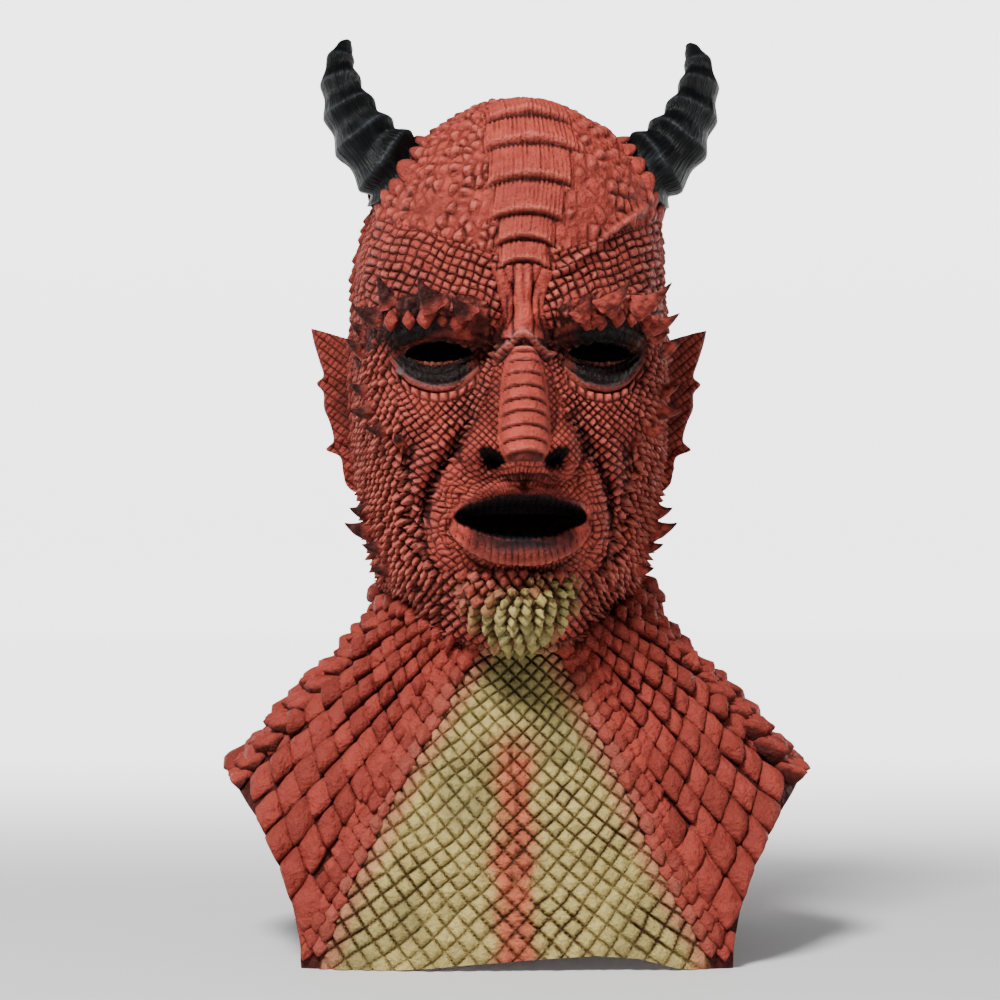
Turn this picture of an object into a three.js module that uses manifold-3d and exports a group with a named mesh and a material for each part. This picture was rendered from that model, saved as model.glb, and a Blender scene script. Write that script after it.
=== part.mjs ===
// Horned devil mask: a hollow pull-over mask cast in latex, with a neck and a bib that
// covers chest, shoulders and upper back, and two ribbed horns set in the skin of the head.
// Millimetres, +Z up. The face looks towards -Y and the mask stands on the bib's cut edge.
import * as THREE from 'three';
import { mergeVertices } from 'three/addons/utils/BufferGeometryUtils.js';
import { ConvexGeometry } from 'three/addons/geometries/ConvexGeometry.js';
import Module from 'manifold-3d';

const WALL = 3.0; // thickness of the latex
const FILL = 7.0; // folds narrower than this are filled on the inside
const THROAT_POOL = 5.0; // latex pooled behind the fold under the jaw
const THROAT_POOL_ROW = 12.4;
const HORN_GAP = 0.3; // glue line between a horn and the skin
const HEAD_YAW = THREE.MathUtils.degToRad(3.8); // the head is turned a little to its left
const HEAD_SHIFT = -3.9; // and sits a little off the bib's middle
const CROWN_SHIFT = 1.0;
const CROWN_Z = 390; // from here up the head leans back over the middle
const TEMPLE_Z = 340;
const CHIN_ROW = 11.6; // ring number where the head's turn is complete
const THROAT_ROW = 13.2; // ring number where it begins
// Columns of the mesh round the mask, as [to this angle from the front, how many] on each side.
const OUTER_COLUMNS = [[30, 7], [72, 6], [104, 3], [180, 4]];
const INNER_COLUMNS = [[72, 7], [104, 2], [180, 4]];
// Rows of the mesh from the crown down, as [to this ring, how many].
const FIRST_ROW = 0.3;
const OUTER_ROWS = [[6, 7], [8, 5], [10.6, 13], [13.4, 7], [19, 6]];
const INNER_ROWS = [[6, 5], [11, 11], [13.4, 7], [19, 5]];

// The form is a stack of closed rings from the crown to below the cut edge. Each row gives
// height at front, side and back, depth at front and back, half width, the depth of the
// widest point, and how square the front and back are (2 is an ellipse).
const RINGS = [
  [427, 427, 427, -13, -12, 0.6, -12.5, 2.0, 2.0], // crown
  [425, 424, 425, -34, 12, 19, -12, 2.0, 2.0],
  [417, 412, 416, -56, 38, 40, -10, 2.0, 2.0],
  [402, 396, 400, -75, 64, 58, -7, 2.05, 2.0],
  [381, 375, 377, -88, 84, 70.5, -4, 2.15, 2.05], // horns
  [355, 348, 350, -96, 95, 76.5, -2, 2.2, 2.1],
  [328, 319, 321, -99, 98, 78.5, 0, 2.25, 2.1], // brow
  [301, 292, 292, -97, 94, 79, 0, 2.2, 2.1], // eyes
  [272, 264, 264, -96, 86, 78, 0, 2.15, 2.1],
  [244, 238, 238, -95, 76, 76, 0, 2.05, 2.1], // nostrils
  [214, 215, 215, -92, 68, 72, 0, 1.9, 2.1], // mouth
  [182, 200, 198, -88, 64, 68.5, 0, 1.75, 2.1], // chin
  [157, 190, 186, -76, 62, 66.5, 1, 1.7, 2.1],
  [151, 179, 172, -55, 62, 67, 2, 2.0, 2.1], // throat
  [141, 165, 156, -55, 66, 71.5, 3, 2.1, 2.2],
  [122, 145, 136, -62, 73, 88.5, 3, 2.2, 2.3],
  [90, 118, 104, -75, 81, 114, 2, 2.35, 2.4],
  [50, 86, 60, -87, 87, 142, 0, 2.5, 2.5], // shoulder tips
  [14, 48, 20, -95, 91, 167, 0, 2.5, 2.5],
  [-14, 8, -12, -99, 93, 182, 0, 2.5, 2.5],
];

// Half of the bib's cut edge, seen from the front: bottom corner up to the shoulder tip.
const TRIM = [[104, 0], [104, 10], [108, 28], [115.5, 48], [127.5, 68], [138.5, 80], [147, 88],
  [200, 100]];
const TRIM_TOP = 520;
// The cut edge rises a little along the front, so the mask rests on its four corners.
const HEM_RISE = [[-62, -5], [-46, 0.8], [-20, 3.2], [10, 5.6], [38, 7.2], [58, 5.6], [76, 0.8], [84, -5]];

// Folds of the face as [x from the midline, z, width, height] along each one, on both sides.
const FOLDS = {
  brow: [[8, 311, 8, 2], [20, 314, 9, 7], [38, 318, 10, 9], [56, 316, 10, 8], [68, 306, 9, 4]],
  frown: [[0, 332, 7, 1], [0, 315, 5, 4.5], [0, 304, 4.5, 3]],
  frownCrease: [[7.5, 334, 1.6, -1], [6.5, 322, 1.8, -3.2], [7, 311, 1.9, -3.6], [12, 305.5, 2.2, -2]],
  eyeBag: [[22, 290, 3, 0.5], [30, 284.5, 3.2, 3.2], [41, 282.5, 3.4, 4.2], [53, 287, 3, 2.6],
    [58, 293, 3, 0.6]],
  bagCrease: [[23, 287, 1, -0.6], [31, 279.5, 1.2, -1.8], [42, 277.2, 1.2, -2.2], [54, 281.5, 1.2, -1.6]],
  cheekCrease: [[50, 255, 2.4, -1], [53, 240, 2.4, -4], [53, 222, 2.4, -5], [49, 205, 2.4, -4],
    [44, 196, 2, -1.5]],
  wingCrease: [[16, 262, 1.6, -0.5], [24, 262, 2, -1.5], [29.5, 255, 2.2, -3], [29.5, 246, 2.2, -3.2],
    [26, 239.5, 2, -2]],
  mouthFurrow: [[27, 259, 2.8, -1.5], [35, 248, 3.4, -5], [43, 233, 3.2, -6.5], [46.5, 216, 2.8, -5.5],
    [45, 200, 2.6, -4], [40, 190, 2.2, -1]],
  cheekFold: [[34, 262, 5, 1.5], [43, 247, 5.5, 3.5], [51, 230, 5, 2.5], [54, 212, 4, 1]],
  philtrum: [[0, 236, 2.6, -2.2], [0, 231, 2.8, -2]],
  upperLip: [[0, 229, 2.6, 3], [6, 231, 2.6, 3.8], [16, 229, 2.6, 3.2], [26, 222.5, 2.6, 2],
    [31, 217, 2.2, 0.8]],
  lowerLip: [[0, 198.5, 4.6, 8], [12, 199.5, 4.6, 7.5], [22, 204, 4.2, 5.5], [29, 211, 3.4, 2.5],
    [32, 216, 2, 0.5]],
};

// Swellings and hollows as [x, z, half width, half height, height, softness].
const SWELLINGS = {
  eyeSocket: [36, 297, 23, 12.5, -15, 2.6],
  innerCorner: [15, 299, 8, 9, -5, 2],
  eyelids: [38, 294, 18, 10, 7.5, 2],
  cheekbone: [50, 266, 20, 13, 7, 2],
  hollowCheek: [57, 226, 13, 22, -5.5, 2],
  cheekPad: [36, 244, 12, 14, 2.5, 2],
  noseWing: [20.5, 249, 7.5, 9, 13.5, 2.4],
  nostril: [15, 243.5, 5.6, 3.8, -13, 2.2],
  muzzle: [0, 217, 33, 27, 11, 2.3],
  lipHollow: [0, 188.5, 20, 5.5, -5, 2],
  chin: [0, 171, 21, 14, 9, 2.2],
  chinPoint: [0, 158, 13, 8, 4, 2.2],
  jawSide: [48, 168, 19, 20, -15, 2.4],
};

// The nose's ridge: height and half width at each z.
const NOSE_HEIGHT = [[232, 0], [237, 6], [240.5, 20], [244, 26], [248, 27.5], [262, 25], [280, 18],
  [294, 10.5], [302, 6], [308, 3], [316, 0]];
const NOSE_HALF_WIDTH = [[236, 13.5], [246, 13.5], [256, 13], [270, 12], [285, 10.5], [300, 9.5], [312, 11]];

// The plated crest runs from the brow over the crown: half width and lower edge of each plate.
const CREST_PLATES = [[14.5, 337], [15.5, 348], [17.5, 360], [20, 377], [21.5, 395.5], [18, 410.5]];
const CREST_TOP_Z = 423;
const CREST_LIFT = 3.2;
const PLATE_ROOT = 2.0;

// The open mouth, and the hole cut in its floor.
const MOUTH = { halfWidth: 31, topZ: 217.5, lowZ: 215.5, rise: 8.0, drop: 10.5, depth: 14 };
const MOUTH_HOLE = { halfWidth: 27, topZ: 216.5, lowZ: 215.5, rise: 1.8, drop: 8.0 };
const EYE_HOLE = { x: 39, z: 295.5, halfWidth: 16, rise: 6.2, drop: 4.2 };
const HOLE_POINTS = 7;

// Spikes on one side: root x and z, tip x and z, how far the tip stands forward, root radius.
const SPIKES = [
  [28.5, 315.5, 33, 322, 9, 5.0], [39.6, 321, 50, 330, 10, 6.4], [62, 324, 70.5, 334, 7, 5.6], // brow
  [64, 314.5, 80, 319.5, 6, 6.0], [71, 306, 79, 309, 5, 3.8], [74, 296, 83, 299, 3, 3.6],
  [44, 311, 45, 313, 8, 3.4], [53, 309, 56, 311, 8, 3.4],
  [71.5, 281, 81, 285, 4, 4.4], [70, 269, 82, 271, 4, 4.6], [63, 260.5, 74, 263, 6, 4.4], // cheek
  [55, 256, 60, 256, 7, 4.0],
  [71, 220.5, 80, 219.5, 3, 4.4], [69, 211.5, 83, 213, 3, 5.4], [63.5, 203, 74, 202, 3, 4.2], // jaw
  [61, 192.5, 70.5, 190, 3, 4.6], [47, 184, 51, 180, 4, 3.2],
];
const SPIKE_SIDES = 5;
const SPIKE_ROOT = 1.4; // how deep a spike's root goes into the latex

// Horns: the middle line and its radius, from the root in the head to the tip.
const HORN_LINE = [[55, -23, 380, 19.5], [62, -25, 389, 18.5], [75, -25, 401, 16.2], [84, -22.5, 415, 13.2],
  [89.5, -18, 430, 10.2], [91, -13, 443.5, 7.2], [88.5, -9, 453, 4.4], [86.4, -7.5, 457, 1.6]];
const HORN_SIDES = 8;
const HORN_ROWS = 17;
const HORN_RIBS = 6;
const HORN_RIB_HEIGHT = 0.07; // of the radius

// Scales round a horn's root: how many, distance from the horn's middle line, and size.
const COLLAR = { count: 7, radius: 22.4, tipRadius: 21, length: 13, width: 17, lift: 2.4, root: 5 };

// An ear is a fan of straight ribs in a plane that leans back. Each rib gives the height of
// its root, and how far out and how high its end on the spiked rim is.
const EAR_RIBS = [[305, 27, 315.5], [299, 28, 309.5], [293, 22, 301], [286, 17, 291.5], [281, 23, 286],
  [276, 16, 280.5], [270, 16.5, 273], [262, 13.5, 264], [254, 11, 255.5], [250, 16, 251.5],
  [246, 5, 248.5], [238, 4.5, 239], [232, 1, 233]];
const EAR_LEAN = THREE.MathUtils.degToRad(42);
const EAR_ROOT = { x: 76, y: 3, inset: -8 };
// Section of a rib: fraction of its length, and distance in front of the ear's plane.
const EAR_SECTION = [[0, 2], [0.5, -0.8], [0.84, 2.4], [1, 0.6], [0.84, -2.2], [0.5, -4.2], [0, -6]];

// Overlapping scales on neck, shoulders and back, and the small ones of the beard.
const SCALE_LIFT = 3.4;
const SCALE_ROOT = 2.2;
const SCALE_ROWS = [
  // ring number, first and last angle from the front in degrees, count, length, width
  [14.2, 50, 130, 4, 13, 14], [14.8, 48, 130, 4, 16, 18], [15.4, 46, 135, 5, 17, 20],
  [15.95, 43, 135, 5, 19, 23], [16.5, 42, 140, 5, 21, 26], [17.05, 38, 130, 4, 22, 28],
];
const BEARD_ROWS = [[183, 20, 4, 9], [175, 18, 4, 10], [167, 15, 3, 10], [159, 10, 2, 10]];

function lerpTable(table, z) {
  if (z <= table[0][0]) return table[0][1];
  for (let i = 1; i < table.length; i++) {
    const [z0, a] = table[i - 1];
    const [z1, b] = table[i];
    if (z <= z1) return a + ((b - a) * (z - z0)) / (z1 - z0);
  }
  return table[table.length - 1][1];
}

function ringAt(row) {
  const last = RINGS.length - 1;
  const i = Math.min(Math.max(Math.floor(row), 0), last - 1);
  const t = row - i;
  const at = (k) => RINGS[Math.min(Math.max(k, 0), last)];
  const [p0, p1, p2, p3] = [at(i - 1), at(i), at(i + 1), at(i + 2)];
  return p1.map((value, k) => {
    const m1 = (p2[k] - p0[k]) / 2;
    const m2 = (p3[k] - p1[k]) / 2;
    return (2 * t ** 3 - 3 * t ** 2 + 1) * value + (t ** 3 - 2 * t ** 2 + t) * m1
      + (-2 * t ** 3 + 3 * t ** 2) * p2[k] + (t ** 3 - t ** 2) * m2;
  });
}

const smooth = THREE.MathUtils.smoothstep;

// A path of folds through a smooth curve, as short straight stretches.
function foldPath(points) {
  const curve = new THREE.CatmullRomCurve3(points.map(([x, z]) => new THREE.Vector3(x, z, 0)));
  const steps = (points.length - 1) * 5;
  return Array.from({ length: steps + 1 }, (_, k) => {
    const at = curve.getPoint(k / steps);
    const s = Math.min((k / steps) * (points.length - 1), points.length - 1.0001);
    const i = Math.floor(s);
    const mix = (c) => points[i][c] + (s - i) * (points[i + 1][c] - points[i][c]);
    return [at.x, at.y, mix(2), mix(3)];
  });
}

const foldPaths = Object.values(FOLDS).map(foldPath);

function foldHeight(path, x, z) {
  let nearest = Infinity;
  let height = 0;
  for (let i = 1; i < path.length; i++) {
    const [ax, az, aw, ah] = path[i - 1];
    const [bx, bz, bw, bh] = path[i];
    const l2 = (bx - ax) ** 2 + (bz - az) ** 2;
    const along = ((x - ax) * (bx - ax) + (z - az) * (bz - az)) / Math.max(l2, 1e-9);
    const t = THREE.MathUtils.clamp(along, 0, 1);
    const d = Math.hypot(x - ax - t * (bx - ax), z - az - t * (bz - az));
    if (d < nearest) {
      nearest = d;
      height = (ah + t * (bh - ah)) * Math.exp(-((d / (aw + t * (bw - aw))) ** 2));
    }
  }
  return height;
}

// How far the face stands out of the rings towards the front, at x from its midline.
function face(xLocal, z) {
  const x = Math.abs(xLocal);
  let d = foldPaths.reduce((sum, path) => sum + foldHeight(path, x, z), 0);
  for (const [x0, z0, rx, rz, h, soft] of Object.values(SWELLINGS)) {
    d += h * Math.exp(-(Math.abs((x - x0) / rx) ** soft) - Math.abs((z - z0) / rz) ** soft);
  }
  d += lerpTable(NOSE_HEIGHT, z) * Math.exp(-(Math.abs(x / lerpTable(NOSE_HALF_WIDTH, z)) ** 2.5));
  const gape = Math.max(1 - (x / MOUTH.halfWidth) ** 2, 0);
  const top = MOUTH.topZ + MOUTH.rise * gape ** 0.6;
  const low = MOUTH.lowZ - MOUTH.drop * gape ** 0.75;
  const within = smooth(Math.min(top - z, z - low), -1.6, 2.2) * (1 - smooth(x, 29.5, 32.5));
  return d - MOUTH.depth * within;
}

// The face as the inside of the mask sees it: the lowest that the outside is round about,
// so that folds fill with latex and the wall is nowhere thin.
function innerFace(x, z) {
  let d = face(x, z);
  for (const reach of [FILL / 2, FILL]) {
    for (let k = 0; k < 8; k++) {
      const a = (k / 8) * 2 * Math.PI;
      d = Math.min(d, face(x + reach * Math.cos(a), z + reach * Math.sin(a)));
    }
  }
  return d;
}

function turnHead(p, row) {
  const w = 1 - smooth(row, CHIN_ROW, THROAT_ROW);
  const a = HEAD_YAW * w;
  const shift = HEAD_SHIFT + (CROWN_SHIFT - HEAD_SHIFT) * smooth(p.z, TEMPLE_Z, CROWN_Z);
  return new THREE.Vector3(p.x * Math.cos(a) - p.y * Math.sin(a) + shift * w,
    p.x * Math.sin(a) + p.y * Math.cos(a), p.z);
}

function ringPoint(angle, row) {
  const [zf, zs, zb, yf, yb, hw, ym, nf, nb] = ringAt(row);
  const s = Math.sin(angle);
  const c = Math.cos(angle);
  const n = c > 0 ? nf : nb;
  const out = Math.abs(c) ** (2 / n);
  const wf = Math.max(c, 0) ** 1.4;
  const wb = Math.max(-c, 0) ** 1.4;
  return new THREE.Vector3(hw * Math.sign(s) * Math.abs(s) ** (2 / n),
    ym + (c > 0 ? yf - ym : yb - ym) * out, zs + (zf - zs) * wf + (zb - zs) * wb);
}

function ringNormal(angle, row) {
  const e = 0.02;
  const last = RINGS.length - 1;
  const across = ringPoint(angle + e, row).sub(ringPoint(angle - e, row));
  const down = ringPoint(angle, Math.min(row + e, last)).sub(ringPoint(angle, Math.max(row - e, 0)));
  return down.cross(across).normalize();
}

// A point of the mask's outside, or of its inside when inset is the wall's thickness.
function skinPoint(angle, row, inset = 0) {
  const p = ringPoint(angle, row);
  const relief = smooth(Math.cos(angle), 0, 0.45) * (1 - smooth(row, 12, 13));
  if (relief > 0) p.y -= relief * (inset > 0 ? innerFace(p.x, p.z) : face(p.x, p.z));
  const pool = smooth(Math.cos(angle), 0, 0.3) * Math.exp(-(((row - THROAT_POOL_ROW) / 0.6) ** 2));
  p.addScaledVector(ringNormal(angle, row), -inset - (inset > 0 ? THROAT_POOL * pool : 0));
  return turnHead(p, row);
}

// A closed solid through rows of points, ended by a point at each end.
function loft(rows, first, last) {
  const n = rows[0].length;
  const points = [first, ...rows.flat(), last];
  const index = [];
  const at = (r, k) => 1 + r * n + (k % n);
  for (let k = 0; k < n; k++) {
    index.push(0, at(0, k), at(0, k + 1));
    index.push(points.length - 1, at(rows.length - 1, k + 1), at(rows.length - 1, k));
    for (let r = 0; r + 1 < rows.length; r++) {
      index.push(at(r, k), at(r + 1, k), at(r + 1, k + 1), at(r, k), at(r + 1, k + 1), at(r, k + 1));
    }
  }
  const geometry = new THREE.BufferGeometry().setFromPoints(points);
  geometry.setIndex(index);
  return geometry;
}

function angles(stretches) {
  const half = [0];
  for (const [to, count] of stretches) {
    const from = half[half.length - 1];
    for (let k = 1; k <= count; k++) half.push(from + ((to - from) * k) / count);
  }
  const other = half.slice(1, -1).map((a) => -a).reverse();
  return [...half, ...other].map(THREE.MathUtils.degToRad);
}

function rowNumbers(stretches) {
  const rows = [FIRST_ROW];
  for (const [to, count] of stretches) {
    const from = rows[rows.length - 1];
    for (let k = 1; k <= count; k++) rows.push(from + ((to - from) * k) / count);
  }
  return rows;
}

const wasm = await Module();
wasm.setup();

function toSolid(geometry) {
  const bare = geometry.clone();
  bare.deleteAttribute('normal');
  bare.deleteAttribute('uv');
  const merged = mergeVertices(bare, 1e-4);
  return new wasm.Manifold(new wasm.Mesh({
    numProp: 3,
    vertProperties: new Float32Array(merged.attributes.position.array),
    triVerts: new Uint32Array(merged.index.array),
  }));
}

function toGeometry(solid) {
  const mesh = solid.getMesh();
  const geometry = new THREE.BufferGeometry();
  geometry.setAttribute('position', new THREE.BufferAttribute(new Float32Array(mesh.vertProperties), 3));
  geometry.setIndex(new THREE.BufferAttribute(new Uint32Array(mesh.triVerts), 1));
  return geometry;
}

function skinSolid(columns, rowList, inset, floorZ) {
  const rows = rowList.map((row) => columns.map((a) => skinPoint(a, row, inset)));
  const crown = skinPoint(0, 0, inset);
  return toSolid(loft(rows, crown, new THREE.Vector3(0, 0, floorZ)));
}

// The place on the bare rings, before the head's turn, where a measure of miss is least.
function surfaceNearest([firstRow, lastRow], [firstAngle, lastAngle], miss) {
  let best = { miss: Infinity };
  for (let row = firstRow; row < lastRow; row += 0.1) {
    for (let angle = firstAngle; angle < lastAngle; angle += 0.02) {
      const off = miss(ringPoint(angle, row));
      if (off < best.miss) best = { miss: off, row, angle };
    }
  }
  return best;
}

// The surface point whose front view is (x, z), in the head's own frame before its turn.
function frontPoint(x, z) {
  const { row, angle } = surfaceNearest([0.5, 13], [0, 1.75], (p) => Math.hypot(p.x - x, p.z - z));
  const point = ringPoint(angle, row);
  point.y -= smooth(Math.cos(angle), 0, 0.45) * (1 - smooth(row, 12, 13)) * face(point.x, point.z);
  return { row, angle, point };
}

// A point made for the +X side, put on its own side of the turned head.
function placed(p, side, row = 0) {
  return turnHead(new THREE.Vector3(side * p.x, p.y, p.z), row);
}

function spikeSolid([x, z, tipX, tipZ, forward, radius], side) {
  const { point, row } = frontPoint(x, z);
  const tip = new THREE.Vector3(tipX, point.y - forward, tipZ);
  const axis = tip.clone().sub(point).normalize();
  const root = point.clone().addScaledVector(axis, -SPIKE_ROOT);
  const u = new THREE.Vector3(0, 0, 1).cross(axis).normalize();
  const w = axis.clone().cross(u);
  const points = [tip];
  for (let k = 0; k < SPIKE_SIDES; k++) {
    const a = (k / SPIKE_SIDES) * 2 * Math.PI;
    const foot = root.clone().addScaledVector(u, radius * Math.cos(a));
    points.push(foot.addScaledVector(w, radius * Math.sin(a)));
  }
  return toSolid(new ConvexGeometry(points.map((p) => placed(p, side, row))));
}

// One overlapping scale: its upper end lies in the skin and its lower point stands proud.
function scaleSolid(at, down, out, length, width, lift) {
  const across = down.clone().cross(out).normalize();
  const p = (l, w, h) => at.clone().addScaledVector(down, l * length)
    .addScaledVector(across, w * width).addScaledVector(out, h);
  const points = [p(-0.5, 0, -SCALE_ROOT), p(0.1, -0.5, lift * 0.35), p(0.1, 0.5, lift * 0.35),
    p(0.5, 0, lift), p(0.25, 0, -SCALE_ROOT)];
  return toSolid(new ConvexGeometry(points));
}

function skinFrame(angle, row) {
  const e = 0.03;
  const at = skinPoint(angle, row);
  const down = skinPoint(angle, row + e).sub(skinPoint(angle, row - e)).normalize();
  const across = skinPoint(angle + e, row).sub(skinPoint(angle - e, row));
  return { at, down, out: down.clone().cross(across).normalize() };
}

function neckScales() {
  const solids = [];
  SCALE_ROWS.forEach(([row, from, to, count, length, width], k) => {
    const step = (to - from) / count;
    for (let i = 0; i < count; i++) {
      const degrees = from + step * (i + (k % 2 ? 0.75 : 0.25));
      for (const side of [-1, 1]) {
        const { at, down, out } = skinFrame(side * THREE.MathUtils.degToRad(degrees), row);
        solids.push(scaleSolid(at, down, out, length, width, SCALE_LIFT));
      }
    }
  });
  return solids;
}

function beardScales() {
  const solids = [];
  const down = new THREE.Vector3(0, -0.25, -1).normalize();
  BEARD_ROWS.forEach(([z, reach, count, length], k) => {
    for (let i = 0; i < count; i++) {
      const x = -reach + (2 * reach * (i + (k % 2 ? 0.3 : 0.7))) / count;
      const { point } = frontPoint(Math.abs(x), z);
      const at = placed(new THREE.Vector3(point.x, point.y, z), Math.sign(x), CHIN_ROW);
      const out = new THREE.Vector3(x / 60, -1, -0.1).normalize();
      solids.push(scaleSolid(at, down, out, length, 7, 3));
    }
  });
  return solids;
}

function earSolid(side) {
  const out = new THREE.Vector3(Math.cos(EAR_LEAN), Math.sin(EAR_LEAN), 0);
  const ahead = new THREE.Vector3(Math.sin(EAR_LEAN), -Math.cos(EAR_LEAN), 0);
  const at = (reach, z, front) => new THREE.Vector3(EAR_ROOT.x, EAR_ROOT.y, z)
    .addScaledVector(out, reach).addScaledVector(ahead, front);
  const rows = EAR_RIBS.map(([rootZ, reach, z]) => EAR_SECTION.map(([f, front]) => {
    const along = THREE.MathUtils.lerp(EAR_ROOT.inset, reach, f);
    return at(along, THREE.MathUtils.lerp(rootZ, z, f), front);
  }));
  const middle = (row) => row.reduce((sum, p) => sum.add(p), new THREE.Vector3()).divideScalar(row.length);
  const place = (p) => placed(p, side);
  const ends = [rows[0], rows[rows.length - 1]].map((row) => place(middle(row)));
  return toSolid(turnedOut(loft(rows.map((row) => row.map(place)), ...ends)));
}

// Plates of the crest overlap downwards: each lower edge stands proud of the plate below.
function crestPlates() {
  return CREST_PLATES.map(([half, z], k) => {
    const [upperHalf, upperZ] = CREST_PLATES[k + 1] || [half * 0.7, CREST_TOP_Z];
    const points = [];
    for (const [reach, height, lift] of [[half, z, CREST_LIFT], [upperHalf, upperZ + 2, 0.6]]) {
      for (const x of [-reach, -reach / 2, 0, reach / 2, reach]) {
        const proud = lift * (1 - (x / reach) ** 4 * 0.8);
        const { row, angle } = frontPoint(Math.abs(x), height);
        const at = skinPoint(Math.sign(x) * angle, row);
        const normal = ringNormal(Math.sign(x) * angle, row);
        points.push(at.clone().addScaledVector(normal, proud));
        points.push(at.clone().addScaledVector(normal, -PLATE_ROOT));
      }
    }
    return toSolid(new ConvexGeometry(points));
  });
}

// A ring of scales stands round each horn where it leaves the head. A gap makes them reach
// that much further in, to cut a horn clear of them.
function collarScales(side, gap = 0) {
  const foot = new THREE.Vector3(...HORN_LINE[1].slice(0, 3));
  const axis = new THREE.Vector3(...HORN_LINE[2].slice(0, 3)).sub(foot).normalize();
  const u = new THREE.Vector3(0, 1, 0).cross(axis).normalize();
  const w = axis.clone().cross(u);
  return Array.from({ length: COLLAR.count }, (_, k) => {
    const a = (k / COLLAR.count) * 2 * Math.PI;
    const out = u.clone().multiplyScalar(Math.cos(a)).addScaledVector(w, Math.sin(a));
    const across = axis.clone().cross(out);
    const nearest = surfaceNearest([1, 7], [0.4, 2.6], (p) => {
      const offset = p.clone().sub(foot);
      offset.addScaledVector(axis, -offset.dot(axis));
      return offset.distanceTo(out.clone().multiplyScalar(COLLAR.radius));
    });
    const height = ringPoint(nearest.angle, nearest.row).sub(foot).dot(axis);
    const at = (l, wide, r) => foot.clone().addScaledVector(axis, height + l)
      .addScaledVector(across, wide).addScaledVector(out, r);
    const { radius, tipRadius, length, width, lift, root } = COLLAR;
    const [inner, half] = [radius - 0.8 - gap, width / 2 + gap];
    const points = [at(-root, -half, inner), at(-root, half, inner),
      at(-root, -half, radius + 1), at(-root, half, radius + 1),
      at(length * 0.3, 0, radius + lift), at(length * 0.3, -half * 0.76, inner),
      at(length * 0.3, half * 0.76, inner), at(length + gap, 0, tipRadius - gap)];
    return toSolid(new ConvexGeometry(points.map((p) => placed(p, side))));
  });
}

// A lens-shaped hole through the front, cut straight back.
function holeSolid({ x = 0, z = 0, halfWidth, rise, drop, topZ = z, lowZ = z }, near, far) {
  const edge = [];
  for (let k = 0; k <= HOLE_POINTS; k++) {
    const u = -1 + (2 * k) / HOLE_POINTS;
    edge.push([x + halfWidth * u, lowZ - drop * (1 - u * u) ** 0.7]);
  }
  for (let k = HOLE_POINTS - 1; k > 0; k--) {
    const u = -1 + (2 * k) / HOLE_POINTS;
    edge.push([x + halfWidth * u, topZ + rise * (1 - u * u) ** 0.6]);
  }
  const plug = prismAlongY(edge, near, far);
  plug.rotateZ(HEAD_YAW);
  plug.translate(HEAD_SHIFT, 0, 0);
  return toSolid(plug);
}

// A prism along Y with the given outline in x and z.
function prismAlongY(outline, near, far) {
  const shape = new THREE.Shape(outline.map(([x, z]) => new THREE.Vector2(x, z)));
  const prism = new THREE.ExtrudeGeometry(shape, { depth: far - near, bevelEnabled: false });
  prism.rotateX(Math.PI / 2);
  prism.translate(0, far, 0);
  return prism;
}

function trimSolid() {
  const side = (s) => TRIM.map(([x, z]) => [s * x, z]);
  const outline = [...side(1), [200, TRIM_TOP], [-200, TRIM_TOP], ...side(-1).reverse()];
  return toSolid(prismAlongY(outline, -200, 200));
}

function hornSolid(side) {
  const line = new THREE.CatmullRomCurve3(HORN_LINE.map(([x, y, z]) => new THREE.Vector3(x, y, z)));
  const rows = [];
  for (let r = 0; r <= HORN_ROWS; r++) {
    const t = r / HORN_ROWS;
    const s = Math.min(t * (HORN_LINE.length - 1), HORN_LINE.length - 1.0001);
    const i = Math.floor(s);
    const plain = HORN_LINE[i][3] + (s - i) * (HORN_LINE[i + 1][3] - HORN_LINE[i][3]);
    const rib = 1 + HORN_RIB_HEIGHT * Math.cos(t * HORN_RIBS * 2 * Math.PI + 0.6) * smooth(1 - t, 0.05, 0.3);
    const centre = line.getPoint(t);
    const axis = line.getTangent(t);
    const u = new THREE.Vector3(0, 1, 0).cross(axis).normalize();
    const w = axis.clone().cross(u);
    rows.push(Array.from({ length: HORN_SIDES }, (_, k) => {
      const a = (k / HORN_SIDES) * 2 * Math.PI;
      const point = centre.clone().addScaledVector(u, plain * rib * Math.cos(a));
      return point.addScaledVector(w, plain * rib * Math.sin(a));
    }));
  }
  const root = placed(line.getPoint(0), side);
  const tip = placed(line.getPoint(1).add(line.getTangent(1)), side);
  return toSolid(turnedOut(loft(rows.map((ring) => ring.map((p) => placed(p, side))), root, tip)));
}

// Turns a closed mesh over if its faces point in.
function turnedOut(geometry) {
  const p = geometry.attributes.position;
  const index = geometry.index.array;
  const [a, b, c] = [new THREE.Vector3(), new THREE.Vector3(), new THREE.Vector3()];
  let volume = 0;
  for (let i = 0; i < index.length; i += 3) {
    a.fromBufferAttribute(p, index[i]);
    b.fromBufferAttribute(p, index[i + 1]);
    c.fromBufferAttribute(p, index[i + 2]);
    volume += a.dot(b.cross(c));
  }
  if (volume < 0) {
    for (let i = 0; i < index.length; i += 3) [index[i], index[i + 1]] = [index[i + 1], index[i]];
  }
  return geometry;
}

const columns = angles(OUTER_COLUMNS);
const outer = skinSolid(columns, rowNumbers(OUTER_ROWS), 0, -40);
const cavity = skinSolid(angles(INNER_COLUMNS), rowNumbers(INNER_ROWS), WALL, -60);
const hornClearance = skinSolid(columns, rowNumbers(OUTER_ROWS), -HORN_GAP, -40);

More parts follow.
